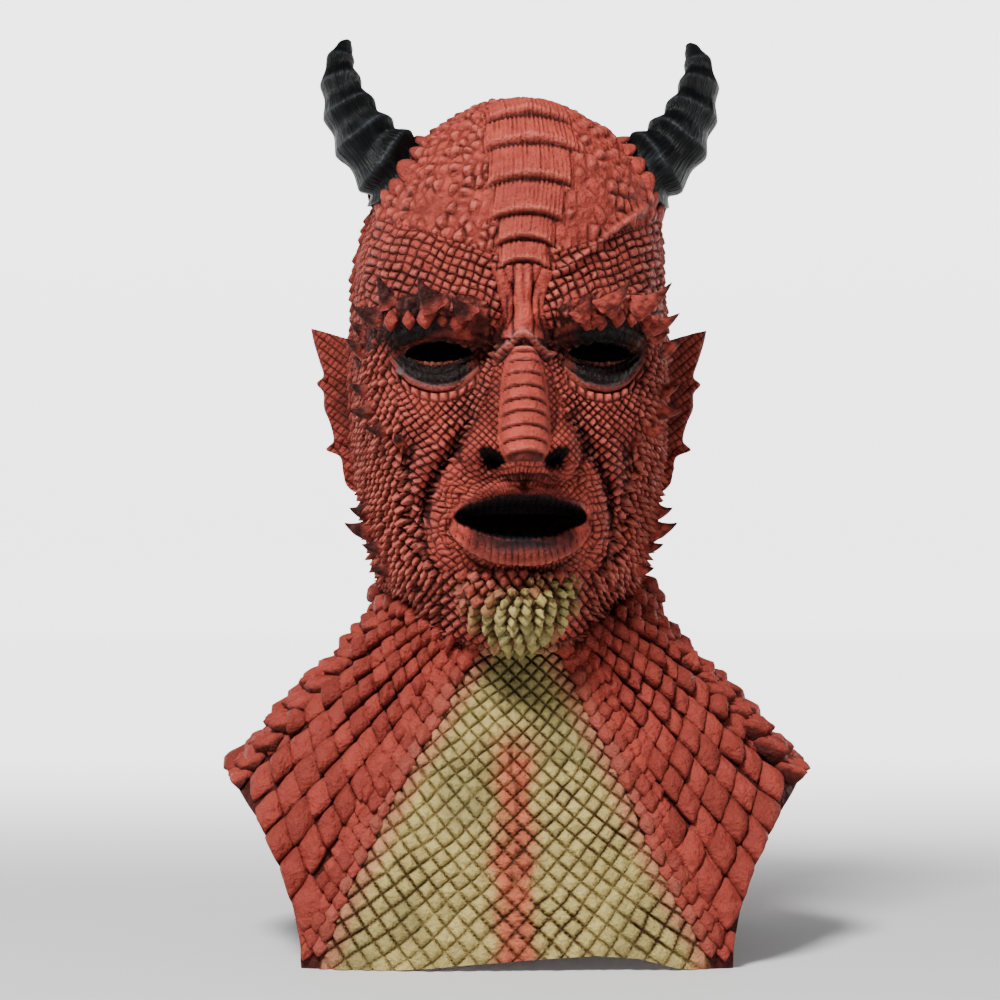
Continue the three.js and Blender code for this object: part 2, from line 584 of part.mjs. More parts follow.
const raised = [
  outer,
  ...[-1, 1].flatMap((side) => SPIKES.map((spike) => spikeSolid(spike, side))),
  ...[-1, 1].map(earSolid),
  ...crestPlates(),
  ...neckScales(),
  ...beardScales(),
];
const holes = [
  cavity,
  toSolid(prismAlongY(HEM_RISE, -130, -30)),
  holeSolid(MOUTH_HOLE, -130, -50),
  holeSolid(EYE_HOLE, -130, -40),
  holeSolid({ ...EYE_HOLE, x: -EYE_HOLE.x }, -130, -40),
];
const collars = [-1, 1].flatMap((side) => collarScales(side));
const gappedCollars = [-1, 1].flatMap((side) => collarScales(side, HORN_GAP));
const hornCut = wasm.Manifold.union([hornClearance, ...gappedCollars]);
const trimmed = wasm.Manifold.union([...raised, ...collars]).intersect(trimSolid());
const skin = trimmed.subtract(wasm.Manifold.union(holes));

const latex = new THREE.MeshStandardMaterial({ color: 0xb0392c, roughness: 0.6, metalness: 0 });
const hornBlack = new THREE.MeshStandardMaterial({ color: 0x16181a, roughness: 0.35, metalness: 0 });

function named(name, solid, material) {
  const mesh = new THREE.Mesh(toGeometry(solid), material);
  mesh.name = name;
  return mesh;
}

const mask = new THREE.Group();
mask.add(named('mask_skin', skin, latex));
mask.add(named('horn_left', hornSolid(-1).subtract(hornCut), hornBlack));
mask.add(named('horn_right', hornSolid(1).subtract(hornCut), hornBlack));

// The origin is the centre of the base, under the middle of everything.
const box = new THREE.Box3().setFromObject(mask);
mask.position.set(0, -(box.min.y + box.max.y) / 2, -box.min.z);

export default mask;
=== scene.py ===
"""Looks of the horned devil mask: painted latex skin with its scales, ears, spikes and two ribbed horns.

Lengths are millimetres in the form's own frame until a mesh is written, when they become metres.
"""

import math

import bpy
import numpy as np
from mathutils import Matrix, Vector


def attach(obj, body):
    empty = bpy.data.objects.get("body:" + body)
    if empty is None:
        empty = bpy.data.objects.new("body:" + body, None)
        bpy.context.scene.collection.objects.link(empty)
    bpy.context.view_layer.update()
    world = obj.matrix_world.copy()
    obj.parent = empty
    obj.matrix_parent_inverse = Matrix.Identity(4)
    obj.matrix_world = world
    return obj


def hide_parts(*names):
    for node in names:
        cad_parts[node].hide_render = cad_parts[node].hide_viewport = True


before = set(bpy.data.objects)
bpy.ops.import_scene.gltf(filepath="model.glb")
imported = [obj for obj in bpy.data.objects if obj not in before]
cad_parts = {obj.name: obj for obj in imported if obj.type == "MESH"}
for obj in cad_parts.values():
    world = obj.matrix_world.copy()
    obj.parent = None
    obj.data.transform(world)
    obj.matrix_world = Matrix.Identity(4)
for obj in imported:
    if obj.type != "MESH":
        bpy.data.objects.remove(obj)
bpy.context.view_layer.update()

MM = 0.001
WALL = 3.0
FORM_SHIFT = np.array([0.0, 13.493, 0.0])  # from the form's own frame to the frame of the solids
HEAD_YAW = math.radians(3.8)
HEAD_SHIFT, CROWN_SHIFT = -3.9, 1.0
TEMPLE_Z, CROWN_Z = 340, 390
CHIN_ROW, THROAT_ROW = 11.6, 13.2
EYE_ROW = 8.0
NECK_ROW = 13.0  # the bib's rows begin here
LAST_ROW = 19.0
FRONT_RUN = 0.45  # the face's relief fades out where the cosine of the angle falls below this

# The form is a stack of closed rings from the crown to below the cut edge, as in the solids.
RINGS = np.array([
    # z front, z side, z back, y front, y back, half width, y of widest, squareness front, back
    (427, 427, 427, -13, -12, 0.6, -12.5, 2.0, 2.0),
    (425, 424, 425, -34, 12, 19, -12, 2.0, 2.0),
    (417, 412, 416, -56, 38, 40, -10, 2.0, 2.0),
    (402, 396, 400, -75, 64, 58, -7, 2.05, 2.0),
    (381, 375, 377, -88, 84, 70.5, -4, 2.15, 2.05),
    (355, 348, 350, -96, 95, 76.5, -2, 2.2, 2.1),
    (328, 319, 321, -99, 98, 78.5, 0, 2.25, 2.1),
    (301, 292, 292, -97, 94, 79, 0, 2.2, 2.1),
    (272, 264, 264, -96, 86, 78, 0, 2.15, 2.1),
    (244, 238, 238, -95, 76, 76, 0, 2.05, 2.1),
    (214, 215, 215, -92, 68, 72, 0, 1.9, 2.1),
    (182, 200, 198, -88, 64, 68.5, 0, 1.75, 2.1),
    (157, 190, 186, -76, 62, 66.5, 1, 1.7, 2.1),
    (151, 179, 172, -55, 62, 67, 2, 2.0, 2.1),
    (141, 165, 156, -55, 66, 71.5, 3, 2.1, 2.2),
    (122, 145, 136, -62, 73, 88.5, 3, 2.2, 2.3),
    (90, 118, 104, -75, 81, 114, 2, 2.35, 2.4),
    (50, 86, 60, -87, 87, 142, 0, 2.5, 2.5),
    (14, 48, 20, -95, 91, 167, 0, 2.5, 2.5),
    (-14, 8, -12, -99, 93, 182, 0, 2.5, 2.5),
], float)

# Half of the bib's cut edge seen from the front, and the rise of the hem along the front.
TRIM = [(104, 0), (104, 10), (108, 28), (115.5, 48), (127.5, 68), (138.5, 80), (147, 88), (200, 100)]
HEM = [(-84, 0), (-62, 0), (-46, 0.8), (-20, 3.2), (10, 5.6), (38, 7.2), (58, 5.6), (76, 0.8), (84, 0)]

# Folds of the face as (x from the midline, z, width, height) along each one, on both sides.
FOLDS = {
    "brow": [(8, 311, 8, 2), (20, 314, 9, 7), (38, 318, 10, 9), (56, 316, 10, 8), (68, 306, 9, 4)],
    "frown": [(0, 332, 7, 1), (0, 315, 5, 4.5), (0, 304, 4.5, 3)],
    "frown crease": [(9.5, 336, 1.1, -1.2), (5, 325, 1.5, -3.4), (4.2, 314, 1.7, -3.8),
                     (7, 306.5, 1.8, -2.4)],
    "outer frown crease": [(15, 335, 1, -1), (11, 322, 1.2, -2.4), (9.5, 311, 1.4, -2.6),
                           (13, 303, 1.6, -2)],
    "eye bag": [(22, 290, 3, 0.5), (30, 284.5, 3.2, 3.2), (41, 282.5, 3.4, 4.2), (53, 287, 3, 2.6),
                (58, 293, 3, 0.6)],
    "bag crease": [(23, 287, 1, -0.6), (31, 279.5, 1.2, -1.8), (42, 277.2, 1.2, -2.2),
                   (54, 281.5, 1.2, -1.6)],
    "under bag": [(26, 281, 2.6, 0.5), (33, 274.5, 3.2, 1.6), (44, 272, 3.6, 2.2), (57, 276.5, 3.4, 1.8),
                  (64, 286, 3, 0.5)],
    "cheek crease": [(50, 255, 2.4, -1), (53, 240, 2.4, -4), (53, 222, 2.4, -5), (49, 205, 2.4, -4),
                     (44, 196, 2, -1.5)],
    "wing crease": [(16, 262, 1.6, -0.5), (24, 262, 2, -1.5), (29.5, 255, 2.2, -3),
                    (29.5, 246, 2.2, -3.2), (26, 239.5, 2, -2)],
    "mouth furrow": [(27, 259, 2.8, -1.5), (35, 248, 3.4, -5), (43, 233, 3.2, -6.5),
                     (46.5, 216, 2.8, -5.5), (45, 200, 2.6, -4), (40, 190, 2.2, -1)],
    "cheek fold": [(34, 262, 5, 1.5), (43, 247, 5.5, 3.5), (51, 230, 5, 2.5), (54, 212, 4, 1)],
    "philtrum": [(0, 236, 2.6, -2.2), (0, 231, 2.8, -2)],
    "upper lip": [(0, 229, 2.6, 3), (6, 231, 2.6, 3.8), (16, 229, 2.6, 3.2), (26, 222.5, 2.6, 2),
                  (31, 217, 2.2, 0.8)],
    "lower lip": [(0, 198.5, 4.6, 8), (12, 199.5, 4.6, 7.5), (22, 204, 4.2, 5.5), (29, 211, 3.4, 2.5),
                  (32, 216, 2, 0.5)],
}

# Sharp lines in those folds, in the same form.
WRINKLES = {
    "furrow line": [(22, 259, 0.9, -0.6), (28, 253.5, 1.5, -2.4), (34, 246, 2, -4),
                    (40.5, 236.5, 2.2, -4.4), (43.5, 226, 2, -3.8), (43.5, 214, 1.6, -2.8),
                    (41, 202, 1.3, -1.4), (38, 194, 0.9, -0.4)],
    "cheek line": [(54, 254, 0.9, -0.6), (56, 243, 1.4, -2.4), (54.5, 228, 1.6, -3), (51, 211, 1.6, -3),
                   (44.5, 197, 1.4, -2.2), (38, 187, 1.1, -0.8)],
    "corner line": [(31.5, 217.5, 1.2, -2.6), (34.5, 211, 1.3, -2.4), (35, 204, 1.2, -1.8),
                    (31, 195, 1, -0.9)],
    "line under the lip": [(0, 191.5, 1.8, -2.4), (14, 192.5, 1.8, -2.2), (24, 197.5, 1.3, -1.4),
                           (29, 203, 0.9, -0.4)],
    "nose side line": [(12, 292, 1, -0.4), (14.5, 280, 1.2, -1), (16.5, 268, 1.3, -1.2),
                       (14, 257, 1.2, -1)],
    "line over the bag": [(20, 292, 0.8, -0.6), (30, 289, 0.9, -1.4), (41, 288.3, 0.9, -1.4),
                          (52, 290.6, 0.8, -0.8)],
    "hood": [(17, 300.5, 2.2, 1), (26, 303.5, 2.6, 3.4), (38, 306, 2.8, 4), (50, 306.5, 2.6, 3.4),
             (60, 303, 2.2, 1.5)],
}

# Swellings and hollows as (x, z, half width, half height, height, softness).
SWELLINGS = {
    "eye socket": (36, 297, 23, 12.5, -15, 2.6),
    "inner corner": (15, 299, 8, 9, -5, 2),
    "eyelids": (38, 294, 18, 10, 7.5, 2),
    "cheekbone": (50, 266, 20, 13, 7, 2),
    "hollow cheek": (57, 226, 13, 22, -5.5, 2),
    "cheek pad": (36, 244, 12, 14, 2.5, 2),
    "nose wing": (20.5, 249, 7.5, 9, 13.5, 2.4),
    "nostril": (15, 243.5, 5.6, 3.8, -13, 2.2),
    "muzzle": (0, 217, 33, 27, 11, 2.3),
    "lip hollow": (0, 188.5, 20, 5.5, -5, 2),
    "chin": (0, 171, 21, 14, 9, 2.2),
    "chin point": (0, 158, 13, 8, 4, 2.2),
    "jaw side": (48, 168, 19, 20, -15, 2.4),
}
# The nose by height z: how far its ridge stands out, half its width, and how far its sides slope.
NOSE_Z = [232, 237, 240.5, 244, 248, 262, 280, 294, 302, 308, 316]
NOSE_HEIGHT = [0, 6, 20, 26, 27.5, 25, 18, 10.5, 6, 3, 0]
NOSE_HALF_Z = [236, 246, 256, 270, 285, 300, 312]
NOSE_HALF_WIDTH = [14, 14.5, 15, 14.5, 13, 11.5, 12]
NOSE_SIDE_Z = [246, 254, 262, 280, 296, 304]
NOSE_SIDE_REACH = [27, 28, 27, 22, 17, 13]
NOSTRIL_X, NOSTRIL_Z = 15, 245.5
NOSTRIL_LEAN = math.radians(33)

MOUTH = {"half": 31, "top": 217.5, "low": 215.5, "rise": 8.0, "drop": 10.5, "depth": 14}
# Openings: middle, half width, the corners' height, and how far the edges curve up and down from it.
MOUTH_HOLE = {"x": 0, "half": 27, "top": 216.5, "low": 215.5, "rise": 1.8, "drop": 8.0}
EYE_HOLE = {"half": 16, "top": 295.5, "low": 295.5, "rise": 6.2, "drop": 4.2}
EYE_X = 39
HOLES = [MOUTH_HOLE, *({"x": sign * EYE_X, **EYE_HOLE} for sign in (-1, 1))]
FRONT_OF_HOLES = 0.3  # the openings lie where the cosine of the angle round the mask is above this

# Distance in mm between columns of the skin's mesh, as (from the front in degrees, spacing).
COLUMN_SPACING = [(0, 0.67), (50, 0.67), (75, 1.05), (100, 1.6), (125, 2.7), (180, 2.7)]
# And between its rows, by ring number.
ROW_SPACING = [(0, 1.7), (2, 1.15), (5, 0.9), (6, 0.69), (12, 0.69), (13, 0.93), (19, 1.0)]


def smooth(a, b, x):
    """0 on a's side and 1 on b's, with a soft step between them."""
    t = np.clip((x - a) / (b - a), 0, 1)
    return t * t * (3 - 2 * t)


def bell(x, width, power=2):
    """1 at x = 0, falling to nothing on both sides."""
    return np.exp(-np.abs(x / width) ** power)


def spot(x, width, z, height, power=2):
    """1 at x = z = 0, falling to nothing all round."""
    return np.exp(-np.abs(x / width) ** power - np.abs(z / height) ** power)


def side(value, low, high, soft):
    """About 1 between low and high, crossing a half at each."""
    return np.minimum(smooth(low - soft, low + soft, value), smooth(high + soft, high - soft, value))


def ring_at(v):
    """The ring's numbers at ring number v, a cubic through the stations."""
    last = len(RINGS) - 1
    i = np.clip(np.floor(v).astype(int), 0, last - 1)
    t = (v - i)[..., None]
    p0, p1, p2, p3 = (RINGS[np.clip(i + j, 0, last)] for j in (-1, 0, 1, 2))
    m1, m2 = (p2 - p0) / 2, (p3 - p1) / 2
    start = (2 * t**3 - 3 * t**2 + 1) * p1 + (t**3 - 2 * t**2 + t) * m1
    return start + (-2 * t**3 + 3 * t**2) * p2 + (t**3 - t**2) * m2


def ring_point(phi, v):
    """Points of the bare rings, (..., 3)."""
    zf, zs, zb, yf, yb, half, ym, nf, nb = np.moveaxis(ring_at(v), -1, 0)
    s, c = np.sin(phi), np.cos(phi)
    n = np.where(c > 0, nf, nb)
    out = np.abs(c) ** (2 / n)
    z = zs + (zf - zs) * np.clip(c, 0, 1) ** 1.4 + (zb - zs) * np.clip(-c, 0, 1) ** 1.4
    y = ym + np.where(c > 0, yf - ym, yb - ym) * out
    return np.stack([half * np.sign(s) * np.abs(s) ** (2 / n), y, z], -1)


def fold_curve(path, steps=5):
    """A smooth curve through the points of the path, with that many steps between two of them."""
    path = np.array(path, float)
    k = len(path)
    if k < 3:
        return path
    out = []
    for i in range(k - 1):
        p0, p1, p2, p3 = (path[min(max(i + j, 0), k - 1)] for j in (-1, 0, 1, 2))
        for t in np.arange(steps) / steps:
            square, cube = 2 * p0 - 5 * p1 + 4 * p2 - p3, 3 * p1 - p0 - 3 * p2 + p3
            out.append(p1 + ((p2 - p0) * t + square * t**2 + cube * t**3) / 2)
    return np.array(out + [path[-1]])


def fold_height(x, z, path):
    """A ridge or crease along a path of (x, z, width, height) points."""
    points = fold_curve(path)
    reach = points[:, 2].max() * 3
    near = (x > points[:, 0].min() - reach) & (x < points[:, 0].max() + reach)
    near &= (z > points[:, 1].min() - reach) & (z < points[:, 1].max() + reach)
    xs, zs = x[near], z[near]
    best = np.full(xs.shape, 1e9)
    height = np.zeros(xs.shape)
    for a, b in zip(points[:-1], points[1:]):
        ex, ez = b[0] - a[0], b[1] - a[1]
        t = np.clip(((xs - a[0]) * ex + (zs - a[1]) * ez) / max(ex * ex + ez * ez, 1e-9), 0, 1)
        d = np.hypot(xs - a[0] - t * ex, zs - a[1] - t * ez)
        h = (a[3] + t * (b[3] - a[3])) * np.exp(-(d / (a[2] + t * (b[2] - a[2]))) ** 2)
        height = np.where(d < best, h, height)
        best = np.minimum(best, d)
    out = np.zeros(x.shape)
    out[near] = height
    return out


def nostril_axes(x, z):
    """Distances from the nostril's middle, along its slit and across it."""
    x, z = x - NOSTRIL_X, z - NOSTRIL_Z
    c, n = math.cos(NOSTRIL_LEAN), math.sin(NOSTRIL_LEAN)
    return x * c + z * n, z * c - x * n


def face(x_local, z):
    """How far the face stands out of the rings towards the front."""
    x = np.abs(x_local)
    d = sum(fold_height(x, z, path) for path in [*FOLDS.values(), *WRINKLES.values()])
    along, beside = nostril_axes(x, z)
    d = d - 4.5 * np.exp(-(along / 6.5) ** 4 - (beside / 3.2) ** 2)
    for x0, z0, rx, rz, h, soft in SWELLINGS.values():
        d = d + h * spot(x - x0, rx, z - z0, rz, soft)
    half = np.interp(z, NOSE_HALF_Z, NOSE_HALF_WIDTH)
    slope = np.clip(1 - x / np.interp(z, NOSE_SIDE_Z, NOSE_SIDE_REACH), 0, 1) ** 0.8
    ridge = bell(x, half, 2.2)
    d = d + np.interp(z, NOSE_Z, NOSE_HEIGHT) * np.maximum(ridge, 0.68 * slope * smooth(247, 257, z))
    gape = np.maximum(1 - (x / MOUTH["half"]) ** 2, 0)
    top = MOUTH["top"] + MOUTH["rise"] * gape**0.6
    low = MOUTH["low"] - MOUTH["drop"] * gape**0.75
    return d - MOUTH["depth"] * smooth(-1.6, 2.2, np.minimum(top - z, z - low)) * smooth(32.5, 29.5, x)


def turn_head(p, v):
    """Turns and shifts the head; the bib stays."""
    w = smooth(THROAT_ROW, CHIN_ROW, v)
    a = HEAD_YAW * w
    shift = HEAD_SHIFT + (CROWN_SHIFT - HEAD_SHIFT) * smooth(TEMPLE_Z, CROWN_Z, p[..., 2])
    x = p[..., 0] * np.cos(a) - p[..., 1] * np.sin(a) + shift * w
    y = p[..., 0] * np.sin(a) + p[..., 1] * np.cos(a)
    return np.stack([x, y, p[..., 2]], -1)


def relief_share(phi, v):
    """How much of the face's relief there is: all in front, none behind or on the bib."""
    return smooth(0, FRONT_RUN, np.cos(phi)) * smooth(NECK_ROW, NECK_ROW - 1, v)


def skin_local(phi, v):
    """Points of the rings with the face pressed out of them, before the head is turned."""
    p = ring_point(phi, v)
    share = relief_share(phi, v)
    p[..., 1] -= share * face(p[..., 0], p[..., 2])
    return p


def skin_point(phi, v):
    return turn_head(skin_local(phi, v), v)


def unit(a):
    return a / np.maximum(np.linalg.norm(a, axis=-1, keepdims=True), 1e-12)


def frame_at(phi, v):
    """Point, direction down the skin, direction across it and outward normal."""
    e = 0.02
    phi, v = np.asarray(phi, float), np.asarray(v, float)
    at = skin_point(phi, v)
    down = unit(skin_point(phi, v + e) - skin_point(phi, v - e))
    across = skin_point(phi + e, v) - skin_point(phi - e, v)
    out = unit(np.cross(down, across))
    return at, down, np.cross(out, down), out


# Noise

def hashed(*keys):
    """A number from 0 to 1 for each set of whole-number keys."""
    h = np.zeros(np.broadcast(*keys).shape, np.uint64) + np.uint64(0x9E3779B97F4A7C15)
    for key in keys:
        h = (h ^ np.asarray(key).astype(np.int64).astype(np.uint64)) * np.uint64(0xBF58476D1CE4E5B9)
        h ^= h >> np.uint64(29)
    return (h >> np.uint64(11)).astype(float) / 2.0**53


def value_noise(p, size, seed=0):
    """Smooth noise from 0 to 1 with features of the given size."""
    q = p / size
    base = np.floor(q).astype(int)
    f = q - base
    f = f * f * (3 - 2 * f)
    total = 0
    for dx in (0, 1):
        for dy in (0, 1):
            for dz in (0, 1):
                w = np.where(dx, f[..., 0], 1 - f[..., 0]) * np.where(dy, f[..., 1], 1 - f[..., 1])
                w = w * np.where(dz, f[..., 2], 1 - f[..., 2])
                total = total + w * hashed(base[..., 0] + dx, base[..., 1] + dy, base[..., 2] + dz, seed)
    return total


def pebbles(p, size, seed=0):
    """Distance to the border between pebbles, 0 to about 0.5, and a number for each pebble."""
    q = p / size
    base = np.floor(q).astype(int)
    first = np.full(q.shape[:-1], 9.0)
    second = first.copy()
    name = np.zeros(first.shape)
    for dx in (-1, 0, 1):
        for dy in (-1, 0, 1):
            for dz in (-1, 0, 1):
                cell = base + (dx, dy, dz)
                keys = (cell[..., 0], cell[..., 1], cell[..., 2])
                seat = cell + np.stack([hashed(*keys, seed + k) for k in range(3)], -1) * 0.8 + 0.1
                d = np.linalg.norm(q - seat, axis=-1)
                second = np.where(d < first, first, np.minimum(second, d))
                name = np.where(d < first, hashed(*keys, seed + 7), name)
                first = np.minimum(first, d)
    return (second - first) / 2, name


def lattice(p, q):
    """Rhombs on the whole numbers of p and q: distance to the edge, how far down, a number for each."""
    fp, fq = p - np.floor(p), q - np.floor(q)
    edge = np.minimum(np.minimum(fp, 1 - fp), np.minimum(fq, 1 - fq))
    return edge, (fp + fq) / 2, hashed(np.floor(p), np.floor(q), 3)


def blur(a, rows, cols):
    """Box blur of a grid that wraps round in its columns."""
    a = np.pad(a, ((rows, rows), (0, 0)), mode="edge")
    total = np.cumsum(np.vstack([np.zeros((1, a.shape[1])), a]), 0)
    a = (total[2 * rows + 1:] - total[:-2 * rows - 1]) / (2 * rows + 1)
    a = np.hstack([a[:, -cols:], a, a[:, :cols]])
    total = np.cumsum(np.hstack([np.zeros((a.shape[0], 1)), a]), 1)
    return (total[:, 2 * cols + 1:] - total[:, :-2 * cols - 1]) / (2 * cols + 1)


# The skin's grid

def lengths(line):
    """Length along a line up to each of its points."""
    return np.concatenate([[0], np.cumsum(np.linalg.norm(np.diff(line, axis=0), axis=1))])


def spaced(fine, line, where, spacing):
    """Some of the numbers fine, spaced along the line by the table of distances."""
    rate = 1 / np.interp(where, *zip(*spacing))
    count = np.concatenate([[0], np.cumsum(np.diff(lengths(line)) * (rate[1:] + rate[:-1]) / 2)])
    return np.interp(np.linspace(0, count[-1], int(count[-1]) + 1), count, fine)


def column_angles():
    """Angles round the mask, spaced by length along the ring at the eyes."""
    fine = np.linspace(0, math.pi, 4001)
    half = spaced(fine, ring_point(fine, np.full(fine.shape, EYE_ROW)), np.degrees(fine), COLUMN_SPACING)
    return np.concatenate([-half[:0:-1], half])


def row_numbers():
    """Ring numbers of the rows, spaced by length down the front, a little beside the middle."""
    fine = np.linspace(0, LAST_ROW, 4001)
    return spaced(fine, ring_point(np.full(fine.shape, 0.35), fine), fine, ROW_SPACING)


def trim_at(z):
    """Half the width of the bib's outline at that height."""
    trim_x, trim_z = zip(*TRIM)
    return np.interp(z, trim_z, trim_x)


def hem_at(x, y):
    """Height of the bib's hem, which rises in front only."""
    hem_x, hem_z = zip(*HEM)
    return np.where(y < 0, np.interp(x, hem_x, hem_z), 0)


def beyond_cut(p):
    """Positive inside the bib's outline, negative beyond the cut edge."""
    x, y, z = np.moveaxis(p, -1, 0)
    return np.minimum(trim_at(z) - np.abs(x), z - hem_at(x, y))


def cut_rows(phi, inset=0.0):
    """The ring number where each column meets the cut edge."""
    low, high = np.full(phi.shape, NECK_ROW + 0.5), np.full(phi.shape, LAST_ROW)
    for _ in range(40):
        middle = (low + high) / 2
        inside = beyond_cut(shell_point(phi, middle, inset)) > 0
        low = np.where(inside, middle, low)
        high = np.where(inside, high, middle)
    return (low + high) / 2


def shell_point(phi, v, inset):
    """Points that far inside the skin's outside."""
    if not inset:
        return skin_point(phi, v)
    at, _, _, out = frame_at(phi, v)
    return at - inset * out


PHI = column_angles()
ROWS = row_numbers()
ENDS = cut_rows(PHI)
# Below the neck every column's rows are squeezed to end on the cut edge.
stretch = np.clip(ROWS[:, None] - NECK_ROW, 0, None) / (LAST_ROW - NECK_ROW)
V = np.where(ROWS[:, None] > NECK_ROW, NECK_ROW + stretch * (ENDS - NECK_ROW)[None, :], ROWS[:, None])
P2 = np.broadcast_to(PHI[None, :], V.shape)
BARE = ring_point(P2, V)
LOCAL = skin_local(P2, V)
X, Z = LOCAL[..., 0], LOCAL[..., 2]
SHARE = relief_share(P2, V)
# Length round the head from the front, and down each column from the crown.
girth = lengths(ring_point(PHI, np.full(PHI.shape, EYE_ROW)))
ROUND = (girth - girth[-1] / 2)[None, :] + np.zeros(V.shape)
row_steps = np.linalg.norm(np.diff(BARE, axis=0), axis=-1)
DOWN = np.vstack([np.zeros((1, V.shape[1])), np.cumsum(row_steps, 0)])


def grid_normals(p):
    """Outward normals of a grid that closes round in its columns; its first row is the crown's point."""
    down = np.gradient(p, axis=0)
    wide = np.concatenate([p[:, -2:-1], p, p[:, 1:2]], axis=1)
    across = (wide[:, 2:] - wide[:, :-2]) / 2
    n = unit(np.cross(down, across))
    n[0] = (0, 0, 1)
    return n


# Zones of the skin: each gives a weight, the relief in mm and the net's coordinates.

HEAD_HALF_ROUND = ROUND[0, -1]
FRONT = smooth(0.0, 0.2, np.cos(P2))  # 1 where the face can be, 0 behind


def rhombs(across, down, width, length):
    """Net coordinates of rhombs of that width and length."""
    return down / length + across / width, down / length - across / width


class Surface:
    """Relief, net and paint gathered zone by zone; a later zone covers an earlier one."""

    def __init__(self, shape):
        self.height = np.zeros(shape)
        self.net = np.zeros(shape + (3,))
        self.number = np.zeros(shape)
        self.edge = np.full(shape, 0.5)

    def lay(self, weight, height, edge, number, net=None, strength=1.0, seam=True, all_round=False):
        """weight is 1 inside the zone; where it is below a half, the zone isn't there.

        With seam the zone's outline is a groove, else the zone only sinks into its surroundings.
        """
        weight = weight if all_round else weight * FRONT
        inside = weight > 0.5
        fade = smooth(0.5, 0.62, weight)
        fade_around = smooth(0.5, 0.38, weight)
        self.height = np.where(inside, height * fade, self.height * fade_around)
        groove = smooth(0, 0.12, np.abs(weight - 0.5)) if seam else 1.0
        self.edge = np.where(inside, edge, self.edge) * groove
        self.number = np.where(inside, number, self.number)
        if net is None:
            self.net[inside] = 0
            return
        p, q = net
        self.net[..., 0] = np.where(inside, p, self.net[..., 0])
        self.net[..., 1] = np.where(inside, q, self.net[..., 1])
        self.net[..., 2] = np.where(inside, strength * fade, self.net[..., 2] * fade_around)


def scales(p, q, height, proud=0.6, round_off=0.24):
    """Rhomb scales that stand proud at their lower tips: relief, edge and a number for each."""
    edge, down, number = lattice(p, q)
    rise = height * (0.5 + number) * smooth(0, round_off, edge) * (1 - proud + proud * 2 * down)
    return rise, np.minimum(edge, 0.02 + 0.55 * down * proud + (1 - proud)), number


# Scales of the head: how many go round it and how long they are. Those behind begin at a share of
# half the way round.
HEAD_SCALES = (84, 6.6)
SCALES_BEHIND = [(60, 10.0, 0.47), (44, 14.5, 0.6)]


def lay_head(s):
    """Pointed rhomb scales over the whole head, small in front and in two larger sizes behind."""
    columns, length = HEAD_SCALES
    warp = 1.6 * (value_noise(BARE, 17, 71) - 0.5), 1.6 * (value_noise(BARE, 17, 72) - 0.5)
    p, q = rhombs(ROUND + warp[0], DOWN + warp[1], 2 * HEAD_HALF_ROUND / columns, length)
    proud = np.interp(Z, [200, 250, 300, 350], [3.3, 2.8, 1.6, 1.3])
    proud = proud * (1 - 0.35 * smooth(0.45, 0.2, np.cos(P2)) * smooth(225, 250, Z))
    s.lay(np.ones(V.shape), *scales(p, q, proud, 0.95, 0.22), net=(p, q), strength=0.3, all_round=True)
    for columns, length, first in SCALES_BEHIND:
        width = 2 * HEAD_HALF_ROUND / columns
        p, q = rhombs(ROUND, DOWN, width, length)
        # a whole scale is either in the zone or out of it, so the border runs between scales
        middle = np.abs(np.floor(p) - np.floor(q)) * width / 2
        behind = np.where(middle > first * HEAD_HALF_ROUND, 1.0, 0.0)
        s.lay(behind, *scales(p, q, 2.2), net=(p, q), strength=0.4, seam=False, all_round=True)


BROW_END = (15, 305)  # inner end of the brow, which the forehead's net runs round
BROW_SLOPE = math.radians(24)


def brow_line(x):
    """Height of the brow's ridge."""
    return np.interp(x, [12, 20, 38, 56, 68, 76], [310, 314, 318, 317, 309, 300])


def brow_net():
    """Distance from the brow and length along it, going round its inner end."""
    x, z = np.abs(X) - BROW_END[0], Z - BROW_END[1]
    along = x * math.cos(BROW_SLOPE) + z * math.sin(BROW_SLOPE)
    above = z * math.cos(BROW_SLOPE) - x * math.sin(BROW_SLOPE)
    reach = np.where(along > 0, above, np.hypot(along, above))
    return reach, np.where(along > 0, along, -17 * np.arctan2(-along, above))


FOREHEAD_CELL = 4.1
FROWN_Z = [303, 312, 320, 327, 338]  # half the width of the smooth strip between the brows, by height
FROWN_HALF = [14, 10.5, 10.5, 12, 16]


